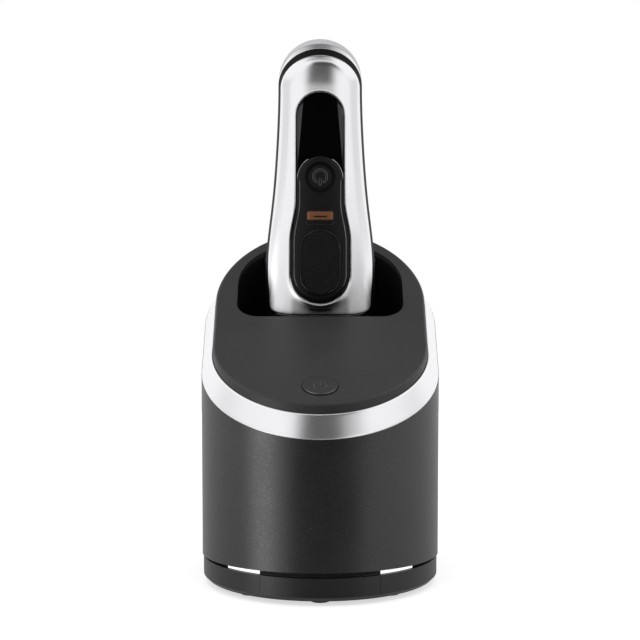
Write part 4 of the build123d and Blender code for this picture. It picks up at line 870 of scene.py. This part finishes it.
def shaver_front():
    """Crowned silver front shell with the long opening for the panel."""
    outer = handle_outline(SILVER_INSET, FRONT_END)
    inner = panel_outline(-0.15)
    rings = []
    for t in (1.0, 0.75, 0.5, 0.25):
        ring = []
        for x, z in outer:
            edge_y = front_y(x, z) + edge_depth(x, z)
            ring.append((x, edge_y + (BAND_FRONT - edge_y) * t, z))
        rings.append(ring)
    shares = [(index / 16) ** 1.8 * 0.62 for index in range(16)]
    shares += [0.62 + 0.38 * index / 9 for index in range(1, 10)]
    for share in shares:
        flat = between(outer, inner, share)
        distances = edge_distance(flat, outer) if share else [0.0] * len(flat)
        ring = []
        for (x, z), d, g in zip(flat, distances, edge_distance(flat, inner)):
            roll = rolled_edge(d, edge_radius(z) * 1.5, edge_depth(x, z), 3.2)
            ring.append((x, front_y(x, z) + roll + scoop(x, z) + rolled_edge(g, LIP_ROUND), z))
        rings.append(ring)
    for depth in (0.5, 1.2, 2.6):
        rings.append([(x, front_y(x, z) + scoop(x, z) + depth, z) for x, z in inner])
    rings.append([(x, BAND_FRONT - 0.1, z) for x, z in inner])
    surface = Surface()
    surface.tube(rings)
    shaver_piece("silver_front_shell", surface, "shaver_silver", "shaver", "shaver_front_shell", 60)


def layer_wall(name, low, high, finish, node, lip=0.0):
    """A ruled band round the handle from one outline to the next, closed on its inner side."""
    (low_inset, low_end, low_y), (high_inset, high_end, high_y) = low, high
    rings = []
    for t in (0.0, 0.12, 0.3, 0.5, 0.7, 0.88, 0.94, 1.0):
        sunk = lip * max(0.0, (t - 0.88) / 0.12) ** 2
        inset = low_inset + (high_inset - low_inset) * t + sunk
        middle, rise = [a + (b - a) * t for a, b in zip(low_end, high_end)]
        y = low_y + (high_y - low_y) * t
        rings.append([(x, y, z) for x, z in handle_outline(inset, (middle, rise - sunk))])
    for inset, (middle, rise), y in (high, low):
        inner = handle_outline(inset + BAND_THICKNESS, (middle, rise - BAND_THICKNESS))
        rings.append([(x, y, z) for x, z in inner])
    surface = Surface()
    surface.tube(rings)
    shaver_piece(name, surface, finish, "shaver", node, 60)


def along_spine(low_z, high_z):
    """Nearest point of an upright line through the panel's middle."""
    return lambda x, z: (0.0, min(high_z, max(low_z, z)))


def across_spine(half, level):
    return lambda x, z: (min(half, max(-half, x)), level)


def drawn_in(outline, spine, distance=None, share=None):
    """The outline moved towards its spine, by a distance or by a share of the way."""
    points = []
    for x, z in outline:
        sx, sz = spine(x, z)
        t = share if share is not None else min(1.0, distance / math.hypot(sx - x, sz - z))
        points.append((x + (sx - x) * t, z + (sz - z) * t))
    return points


def close_middle(surface, ring, turned=False):
    """Closes a flattened ring by joining its right half to its left half."""
    count = len(ring)
    for index in range(count // 2):
        corners = (index, index + 1, (count - index - 1) % count, (count - index) % count)
        face = list(dict.fromkeys(ring[corner] for corner in corners))
        if len(face) > 2:
            surface.faces.append(tuple(reversed(face)) if turned else tuple(face))


def crowned_plate(outline, spine, top_sink, low_sink, edge, relief=None):
    """A plate under the shaver's crowned front, with a round edge and an optional relief on its face."""

    def face_ring(flat, sink):
        ring = on_front(flat, sink)
        return [(x, y + relief(x, z), z) for x, y, z in ring] if relief else ring

    rings = [on_front(drawn_in(outline, spine, share=share), low_sink) for share in (0.97, 0.6, 0.25, 0.0)]
    rings.append(on_front(outline, (low_sink + top_sink + edge) / 2))
    for step in range(6):
        angle = QUARTER * step / 5
        flat = drawn_in(outline, spine, distance=edge * (1 - math.cos(angle)))
        rings.append(face_ring(flat, top_sink + edge * (1 - math.sin(angle))))
    inner = drawn_in(outline, spine, distance=edge)
    for share in (0.06, 0.14, 0.24, 0.36, 0.5, 0.64, 0.78, 0.9, 0.97):
        rings.append(face_ring(drawn_in(inner, spine, share=share), top_sink))
    surface = Surface()
    made = surface.stack(rings)
    close_middle(surface, made[0], turned=True)
    close_middle(surface, made[-1])
    return surface


def thread(path, radius, sides=8, closed=False):
    """A round wire along points of the shaver's frame."""
    count = len(path)
    rings = []
    for index, point in enumerate(path):
        before = path[(index - 1) % count] if closed or index else point
        after = path[(index + 1) % count] if closed or index < count - 1 else point
        along = (Vector(after) - Vector(before)).normalized()
        side = along.cross(Vector((0.0, 1.0, 0.0))).normalized()
        rise = side.cross(along)
        circle = arc((0.0, 0.0), (radius, radius), 0.0, 2 * math.pi, sides)
        rings.append([tuple(Vector(point) + side * a + rise * b) for a, b in circle])
    surface = Surface()
    if closed:
        surface.tube(rings)
    else:
        surface.cap_both(surface.stack(rings))
    return surface


def carve(piece, cutters):
    """Takes the cutters' shapes out of a piece; it does not look at whether anything was cut."""
    for cutter in cutters:
        change = piece.modifiers.new("cut", "BOOLEAN")
        change.operation = "DIFFERENCE"
        change.solver = "EXACT"
        change.object = cutter
    graph = bpy.context.evaluated_depsgraph_get()
    mesh = bpy.data.meshes.new_from_object(piece.evaluated_get(graph))
    piece.modifiers.clear()
    piece.data = mesh
    for cutter in cutters:
        bpy.data.objects.remove(cutter)
    mesh.set_sharp_from_angle(angle=math.radians(35))


def cutter_block(outline):
    """A loose block of this outline through the shaver's front.

    Known fault: its faces point inwards, so cutting with it takes nothing away.
    """
    surface = Surface()
    surface.close_ends(surface.stack([[(x, y, z) for x, z in outline] for y in (-30.0, 10.0)]))
    mesh = bpy.data.meshes.new("cutter")
    mesh.from_pydata([tuple(c * MM for c in docked(point)) for point in surface.points], [], surface.faces)
    cutter = bpy.data.objects.new("cutter", mesh)
    bpy.context.scene.collection.objects.link(cutter)
    return cutter


def display_glass():
    """Glossy black window with slanted facets down both sides."""
    low_z, top_z = STRIP_TOP - GLASS_TUCK, PANEL_TOP - GLASS_GAP
    arch_z = PANEL_TOP - PANEL_HALF
    full = PANEL_HALF - GLASS_GAP
    rings = []
    for row in range(GLASS_ROWS + 1):
        z = low_z + (top_z - low_z) * math.sin(QUARTER * row / GLASS_ROWS)
        edge = math.sqrt(max(0.0004, full ** 2 - max(0.0, z - arch_z) ** 2))
        facet = min(edge * 0.985, FACET_HALF + (z - FACET_Z) * FACET_SLOPE)
        xs = (-edge, -facet, -facet * 0.5, 0.0, facet * 0.5, facet, edge)
        flat = GLASS_SEAT if z < GLASS_SEAT_TOP else GLASS_SINK
        rim = 0.9 if edge - facet < 0.3 else 1.3
        sinks = (rim, 0.55, flat, flat, flat, 0.55, rim)
        ring = [(x, front_y(x, z, sink), z) for x, sink in zip(xs, sinks)]
        rings.append(ring + on_front([(x, z) for x in reversed(xs)], GLASS_BACK))
    surface = Surface()
    surface.close_ends(surface.stack(rings))
    piece = shaver_piece("display_glass", surface, "display_black", "shaver", "display_window", 12)
    piece.data.materials.append(FINISHES["facet_grey"])
    around = len(rings[0])
    for face in piece.data.polygons:
        if face.index % around in (0, 5) and face.index < GLASS_ROWS * around:
            face.material_index = 1


def grip_ribs():
    """Fine slanted ridges across the thumb grip's oval."""
    pitch = shaver_settings().rib_pitch / MM
    slant = math.radians(RIB_SLANT)
    half = GRIP_HALF - RIB_MARGIN
    low, high = GRIP_LOW + RIB_MARGIN + half, GRIP_HIGH - RIB_MARGIN - half
    nearest = along_spine(low, high)
    parts = []
    steps = [index * 0.1 for index in range(-250, 251)]
    lines = int((high - low + 2 * half) / pitch / 2)

    def spot(line, t):
        """The point t along a rib, counted in ribs from the grip's middle."""
        off = line * pitch
        return (math.cos(slant) * t - math.sin(slant) * off,
                (low + high) / 2 + math.sin(slant) * t + math.cos(slant) * off)

    for line in range(-lines, lines + 1):
        kept = [t for t in steps if math.dist(spot(line, t), nearest(*spot(line, t))) < half]
        if len(kept) < 6:
            continue
        rings = []
        for step in range(9):
            t = kept[0] + (kept[-1] - kept[0]) * step / 8
            rise = 0.07 if step in (0, 8) else 0.2
            ring = []
            for offset, height in ((-0.25, -0.1), (-0.1, rise), (0.1, rise), (0.25, -0.1)):
                ring += on_front([spot(line + offset, t)], -GRIP_RISE - height)
            rings.append(ring)
        surface = Surface()
        surface.close_ends(surface.stack(rings))
        parts.append(surface)
    return merge(parts)


def power_mark():
    """The engraved ring and stroke on the power key, drawn as fine double lines."""
    level = POWER_Z + MARK_RISE
    parts = []

    def line(flat, closed=False):
        parts.append(thread(on_front(flat, -POWER_RISE - 0.07), 0.14, 6, closed))

    gap = math.radians(30)
    for radius in MARK_RADII:
        line([(x, level - z) for x, z in open_ring(radius, gap, 40)])
    inner, outer = MARK_RADII
    for side in (-1, 1):
        radii = (inner, (inner + outer) / 2, outer)
        line([(radius * math.sin(gap) * side, level - radius * math.cos(gap)) for radius in radii])
    line(pill_outline(0.55, POWER_Z - 4.2, POWER_Z + 0.4, 0.5, 5), closed=True)
    return merge(parts)


def control_strip():
    spine = along_spine(PANEL_FOOT_Z, STRIP_ARCH_Z)
    strip = crowned_plate(strip_outline(), spine, -STRIP_RISE, PLATE_BACK, STRIP_ROUND)
    piece = shaver_piece("control_strip_shell", strip, "strip_black", "shaver", "control_strip", 50)
    low = SLIDER_Z - SLIDER_HEIGHT / 2 - SLIDER_TRAVEL - 0.2
    high = SLIDER_Z + SLIDER_HEIGHT / 2 + 0.2
    grip_half = GRIP_HALF + GRIP_GAP
    carve(piece, [
        cutter_block(circle_outline(POWER_RADIUS + KEY_GAP, POWER_Z)),
        cutter_block(pill_outline(SLIDER_WIDTH / 2 + SLOT_GAP, low, high, 0.8, 6)),
        cutter_block(pill_outline(grip_half, GRIP_LOW - GRIP_GAP, GRIP_HIGH + GRIP_GAP, grip_half)),
    ])
    slot = pill_outline(SLIDER_WIDTH / 2 + SLOT_GAP + 0.05, low - 0.05, high + 0.05, 0.85, 6)
    rim = thread(on_front(slot, 0.02 - STRIP_RISE), 0.16, closed=True)
    shaver_piece("slider_slot_rim", rim, "slot_grey", "shaver")


def thumb_grip():
    spine = along_spine(GRIP_LOW + GRIP_HALF, GRIP_HIGH - GRIP_HALF)
    outline = pill_outline(GRIP_HALF, GRIP_LOW, GRIP_HIGH, GRIP_HALF)
    pad = crowned_plate(outline, spine, -GRIP_RISE, PLATE_BACK, 0.5)
    shaver_piece("thumb_grip_pad", pad, "grip_black", "shaver", "thumb_grip", 30)
    shaver_piece("thumb_grip_ribs", grip_ribs(), "rib_grey", "shaver", None, 30)
    half = GRIP_HALF - GRIP_RIM_INSET
    rim = pill_outline(half, GRIP_LOW + GRIP_RIM_INSET, GRIP_HIGH - GRIP_RIM_INSET, half)
    bead = thread(on_front(rim, -GRIP_RISE - 0.02), 0.24, closed=True)
    shaver_piece("thumb_grip_rim", bead, "rim_black", "shaver")


def strip_lines():
    """Painted highlights: light wires along the strip's sides and silver arcs and ticks round its top,
    standing in for the highlights on the strip's rounded edge.
    """
    spine = along_spine(PANEL_FOOT_Z, STRIP_ARCH_Z)
    outline = drawn_in(strip_outline(), spine, distance=EDGE_LINE_INSET)
    half = PANEL_HALF - STRIP_MARGIN
    lines, arcs = [], []
    for side in (-1, 1):
        path = []
        for x, z in outline:
            end = min(z - EDGE_LINE_LOW, EDGE_LINE_HIGH - z)
            if x * side > 0 and end > 0:
                dive = EDGE_LINE_DIVE * max(0.0, 1 - end / EDGE_LINE_FADE) ** 2
                path.append((x, front_y(x, z, dive - STRIP_RISE + 0.04), z))
        lines.append(thread(path, 0.32))
        # painted highlights: silver arcs and ticks round the strip's arch, in place of its edge highlight
        reach = half + 0.12
        crest = arc((0.0, STRIP_ARCH_Z), (side * reach, reach), math.radians(4), math.radians(54), 16,
                    last=True)
        arcs.append(thread(on_front(crest, 0.35), 0.26))
        tick_y = front_y(half, STRIP_ARCH_Z)
        tick = [(side * (half + 0.35), tick_y + 0.3, STRIP_ARCH_Z),
                (side * (half - 1.0), tick_y - STRIP_RISE + 0.28, STRIP_ARCH_Z + 0.25)]
        arcs.append(thread(tick, 0.12))
    # painted highlight: wires along the strip's sides in place of its edge highlight
    shaver_piece("strip_edge_highlight", merge(lines), "edge_grey", "shaver")
    shaver_piece("strip_arc_highlights", merge(arcs), "arc_silver", "shaver")


def panel_bed():
    spine = along_spine(PANEL_FOOT_Z, PANEL_TOP - PANEL_HALF)
    bed = crowned_plate(panel_outline(0.05), spine, 1.45, 3.3, 0.2)
    shaver_piece("panel_bed", bed, "panel_black", "shaver", "front_panel")


def power_key():
    def dish(x, z):
        reach = math.hypot(x, z - POWER_Z) / POWER_RADIUS
        return 0.35 * (1 - min(1.0, reach) ** 2)

    spine = along_spine(POWER_Z, POWER_Z)
    face = crowned_plate(circle_outline(POWER_RADIUS, POWER_Z), spine, -POWER_RISE, 0.3, 0.25, dish)
    shaver_piece("power_key", face, "key_black", "power_button", "power_button", 50)
    mark = power_mark()
    mark.points = [(x, y + dish(x, z), z) for x, y, z in mark.points]
    shaver_piece("power_key_mark", mark, "icon_grey", "power_button")


def slider_key():
    half = SLIDER_HEIGHT / 2
    spine = across_spine(SLIDER_WIDTH / 2 - half, SLIDER_Z)
    outline = pill_outline(SLIDER_WIDTH / 2, SLIDER_Z - half, SLIDER_Z + half, SLIDER_CORNER, 6)
    face = crowned_plate(outline, spine, -SLIDER_RISE, 1.1, 0.35)
    shaver_piece("lock_slider_plate", face, "slider_copper", "lock_slider", "lock_slider", 40)
    line = pill_outline(3.4, SLIDER_Z - 0.62, SLIDER_Z + 0.02, 0.3, 4)
    groove = crowned_plate(line, across_spine(3.1, SLIDER_Z - 0.3), -SLIDER_RISE - 0.02, 0.4, 0.02)
    shaver_piece("lock_slider_line", groove, "panel_black", "lock_slider")


def start_key():
    """Start button: flush with the cover behind, a rounded lip and a gap in front, with a raised mark."""
    origin = Vector((0.0, START_Y, top_height(START_Y, COVER_LEVEL)))
    up = Vector((0.0, -math.sin(TOP_SLOPE), math.cos(TOP_SLOPE)))
    back = Vector((0.0, math.cos(TOP_SLOPE), math.sin(TOP_SLOPE)))

    def placed(x, y, z):
        return tuple(origin + Vector((x, 0.0, 0.0)) + back * y + up * z)

    def ring(share, height, lift=0.0, roll=QUARTER):
        """One ring of the key; roll goes from nothing at its wall to a right angle on its face."""
        points = []
        for across, along in arc((0.0, 0.0), (1.0, 1.0), 0.0, 2 * math.pi, ROUND_COUNT):
            front = (1 - along) / 2
            edge = START_EDGE_BACK + (START_EDGE_FRONT - START_EDGE_BACK) * front
            radius = START_RADIUS + START_SPREAD * min(1.0, max(0.0, 1.35 - 1.7 * front))
            reach = (radius - edge * (1 - math.cos(roll))) * share
            z = height - edge * (1 - math.sin(roll)) + lift * front ** 1.5 * share ** 3
            points.append(placed(reach * across, reach * along, z))
        return points

    rings = [ring(share, -2.4, roll=0.0) for share in (0.05, 0.6, 1.0)]
    rings.append(ring(1.0, -1.2, roll=0.0))
    rings += [ring(1.0, START_SINK, START_LIFT, QUARTER * step / 6) for step in range(7)]
    rings += [ring(share, START_SINK, START_LIFT) for share in (0.9, 0.78, 0.62, 0.45, 0.28, 0.12, 0.03)]
    surface = Surface()
    surface.cap_both(surface.stack(rings))
    add_piece("start_key", surface.points, surface.faces, "cover_grey", "start_button", "start_button", 60)

    parts = []
    for flat in (open_ring(START_MARK_RADIUS, math.radians(35), 36), [(0.0, 0.4), (0.0, 4.0)]):
        made = thread([(x, -0.03, z) for x, z in flat], 0.16)
        made.points = [placed(x, z, -y) for x, y, z in made.points]
        parts.append(made)
    mark = merge(parts)
    add_piece("start_key_mark", mark.points, mark.faces, "mark_grey", "start_button", sharp=60)

    # painted highlight: a silver wire along the front lip stands in for the lip's highlight
    reach = START_RADIUS - START_EDGE_FRONT * 0.55
    path = []
    for x, y in arc((0.0, 0.0), (reach, reach), math.radians(-148.0), math.radians(116.0), 24, last=True):
        front = (1 - y / reach) / 2
        path.append(placed(x, y, START_LIFT * front ** 1.5 + 0.02))
    lip = thread(path, 0.13)
    add_piece("start_key_lip_highlight", lip.points, lip.faces, "arc_silver", "start_button", sharp=60)


class FinishOperator(bpy.types.Operator):
    """Makes every finish from the settings"""
    bl_idname = "station.finishes"
    bl_label = "Finishes"

    def execute(self, context):
        make_finishes()
        for entry in frame["record"]["subparts"]:
            slot = entry["material_slot"]
            if slot not in FINISHES:
                raise RuntimeError(f"no finish for slot {slot}")
            dress(entry["node"], slot)
        return {"FINISHED"}


class RingOperator(bpy.types.Operator):
    """Builds the silver trim ring"""
    bl_idname = "station.ring"
    bl_label = "Trim ring"

    def execute(self, context):
        trim_ring()
        return {"FINISHED"}


class ShaverShellOperator(bpy.types.Operator):
    """Builds the shaver's silver front and the bands behind it"""
    bl_idname = "station.shaver_shells"
    bl_label = "Shaver shells"

    def execute(self, context):
        shaver_front()
        layer_wall("black_side_stripe", (SILVER_INSET + 0.05, FRONT_END, BAND_FRONT),
                   (0.0, BAND_END, BAND_BACK), "shaver_black", "shaver_side_band")
        layer_wall("silver_middle_band", (0.0, BAND_END, BAND_BACK), (0.1, FRAME_END, FRAME_BACK),
                   "shaver_grey", "shaver_middle_frame", lip=0.25)
        return {"FINISHED"}


class PanelOperator(bpy.types.Operator):
    """Builds the shaver's insert with its display, control strip and grip"""
    bl_idname = "station.shaver_panel"
    bl_label = "Shaver panel"

    def execute(self, context):
        for build in (panel_bed, display_glass, control_strip, thumb_grip, strip_lines):
            build()
        return {"FINISHED"}


class KeyOperator(bpy.types.Operator):
    """Builds the power key, the lock slider and the start button"""
    bl_idname = "station.keys"
    bl_label = "Keys"

    def execute(self, context):
        power_key()
        slider_key()
        start_key()
        return {"FINISHED"}


def soft_lamp(name, place, target, size, energy):
    data = bpy.data.lights.new(name, "AREA")
    data.shape = "RECTANGLE"
    data.size, data.size_y = size
    data.energy = energy
    lamp = bpy.data.objects.new(name, data)
    lamp.location = place
    lamp.rotation_euler = (Vector(target) - lamp.location).to_track_quat("-Z", "Y").to_euler()
    bpy.context.scene.collection.objects.link(lamp)
    return lamp


def studio_world():
    """White all round for the camera; in reflections a dim gap in front and a dim ceiling."""
    world = bpy.data.worlds.new("studio")
    bpy.context.scene.world = world
    world.use_nodes = True
    sky = Nodes(world.node_tree)
    sky.tree.nodes.clear()
    x, y, z = sky.split(sky.add("ShaderNodeTexCoord").outputs["Generated"])
    azimuth = sky.times(sky.math("ARCTAN2", x, sky.times(y, -1.0)), 180 / math.pi)
    height = sky.times(sky.math("ARCSINE", z), 180 / math.pi)
    side = sky.math("ABSOLUTE", azimuth)

    def rest(share):
        return sky.minus(1.0, share)

    def moved(low_edge, high_edge, share):
        """One edge of the gap, moved from its low place to its high place as share goes from 0 to 1."""
        return sky.plus(sky.times(low_edge, rest(share)), sky.times(high_edge, share))

    def edge(low, high):
        return sky.smooth(azimuth, low, high)

    raised = sky.smooth(height, -3.0, 7.0)
    left = moved(edge(-42.0, -22.0), edge(-26.0, -14.0), raised)
    right = moved(moved(edge(62.0, 26.0), edge(28.0, 14.0), raised), edge(48.0, 30.0),
                  sky.smooth(height, 28.0, 42.0))
    gap = sky.times(left, right, sky.smooth(height, 68.0, 50.0), sky.smooth(height, -42.0, -30.0))
    shelf = sky.times(sky.window(height, 7.0, 11.5, 21.0, 15.5), 0.9)
    dusk = sky.times(sky.window(height, 10.0, 17.0, 46.0, 34.0), 0.07)
    front_level = rest(sky.times(gap, sky.minus(sky.minus(0.975, shelf), dusk)))
    rear_ceiling = sky.times(sky.smooth(side, 140.0, 170.0), sky.smooth(height, 25.0, 40.0), 0.8)
    ceiling = sky.math("MAXIMUM", rear_ceiling, sky.times(sky.smooth(height, 60.0, 78.0), 0.6))
    low_side = sky.times(sky.smooth(height, -3.0, -12.0), sky.smooth(side, 40.0, 60.0), 0.5)
    level = sky.times(front_level, rest(ceiling), rest(low_side))
    strip = sky.times(edge(-78.0, -60.0), edge(-43.0, -50.0))
    strip = sky.times(strip, sky.window(height, 3.0, -1.0, -30.0, -12.0), 1.9)
    flank = sky.times(sky.window(side, 36.0, 50.0, 120.0, 90.0),
                      sky.window(height, 3.0, 8.0, 30.0, 22.0), 0.24)
    level = sky.times(sky.plus(level, strip), rest(flank))
    seen = sky.add("ShaderNodeLightPath").outputs["Is Camera Ray"]
    strength = sky.plus(sky.times(seen, rest(level)), level)
    background = sky.add("ShaderNodeBackground", {"Color": (1.0, 1.0, 1.0, 1.0), "Strength": strength})
    sky.add("ShaderNodeOutputWorld", {0: background.outputs[0]})


def studio_floor():
    """A pale table top that is white to the camera away from the part's shadow."""
    rim = arc((0.0, TABLE_MIDDLE_Y), (TABLE_RADIUS, TABLE_RADIUS), 0.0, 2 * math.pi, ROUND_COUNT)
    mesh = bpy.data.meshes.new("table_top")
    mesh.from_pydata([(x, y, 0.0) for x, y in rim], [], [tuple(range(ROUND_COUNT))])
    floor = bpy.data.objects.new("table_top", mesh)
    bpy.context.scene.collection.objects.link(floor)
    recipe = Recipe("table white")
    white = recipe.blend(recipe.noise(40.0), (0.56, 0.56, 0.56), (0.60, 0.60, 0.60))
    recipe.set(Base_Color=white, Roughness=0.9, Specular_IOR_Level=0.0)
    path = recipe.add("ShaderNodeLightPath").outputs
    glow = recipe.add("ShaderNodeEmission", {"Strength": recipe.times(path["Is Camera Ray"], 0.62)})
    both = recipe.add("ShaderNodeAddShader", {0: recipe.shader.outputs[0], 1: glow.outputs[0]})
    clear = recipe.add("ShaderNodeBsdfTransparent")
    share = recipe.times(path["Is Glossy Ray"], 0.85)
    shown = recipe.add("ShaderNodeMixShader", {"Fac": share, 1: both.outputs[0], 2: clear.outputs[0]})
    recipe.put(recipe.tree.nodes["Material Output"], "Surface", shown.outputs[0])
    mesh.materials.append(recipe.material)


class StageOperator(bpy.types.Operator):
    """Sets up the table, the light and the camera"""
    bl_idname = "station.stage"
    bl_label = "Stage"

    def execute(self, context):
        studio_world()
        studio_floor()
        top = soft_lamp("ceiling_light", (0.0, 0.1, 1.5), (0.0, 0.0, 0.1), (1.6, 1.6), 11.0)
        top.visible_glossy = False
        data = bpy.data.cameras.new("camera")
        camera = bpy.data.objects.new("camera", data)
        context.scene.collection.objects.link(camera)
        camera.location = CAMERA_PLACE
        camera.rotation_euler = (QUARTER - CAMERA_TILT, 0.0, 0.0)
        data.sensor_width = CAMERA_SENSOR
        data.lens = CAMERA_FOCUS * CAMERA_SENSOR
        data.shift_x = -0.0003
        data.clip_start, data.clip_end = 0.05, 20.0
        context.scene.camera = camera
        context.scene.view_settings.view_transform = "Standard"
        return {"FINISHED"}


class StationPanel(bpy.types.Panel):
    """Lists the pieces and their settings"""
    bl_idname = "VIEW3D_PT_station"
    bl_label = "Cleaning station"
    bl_space_type = "VIEW_3D"
    bl_region_type = "UI"
    bl_category = "Station"

    def draw(self, context):
        column = self.layout.column()
        for group in (context.scene.station, context.scene.shaver):
            for name in group.bl_rna.properties.keys():
                if name not in ("rna_type", "name"):
                    column.prop(group, name)
        for operator in OPERATORS:
            column.operator(operator.bl_idname)


OPERATORS = (FinishOperator, StageOperator, RingOperator, ShaverShellOperator, PanelOperator, KeyOperator)
SETTINGS = (StationSettings, ShaverSettings)


def register():
    for item in SETTINGS + OPERATORS + (StationPanel,):
        bpy.utils.register_class(item)
    bpy.types.Scene.station = bpy.props.PointerProperty(type=StationSettings)
    bpy.types.Scene.shaver = bpy.props.PointerProperty(type=ShaverSettings)


def unregister():
    del bpy.types.Scene.shaver
    del bpy.types.Scene.station
    for item in reversed(SETTINGS + OPERATORS + (StationPanel,)):
        bpy.utils.unregister_class(item)


def main():
    register()
    for operator in OPERATORS:
        module, name = operator.bl_idname.split(".")
        getattr(getattr(bpy.ops, module), name)()


if __name__ == "__main__":
    main()
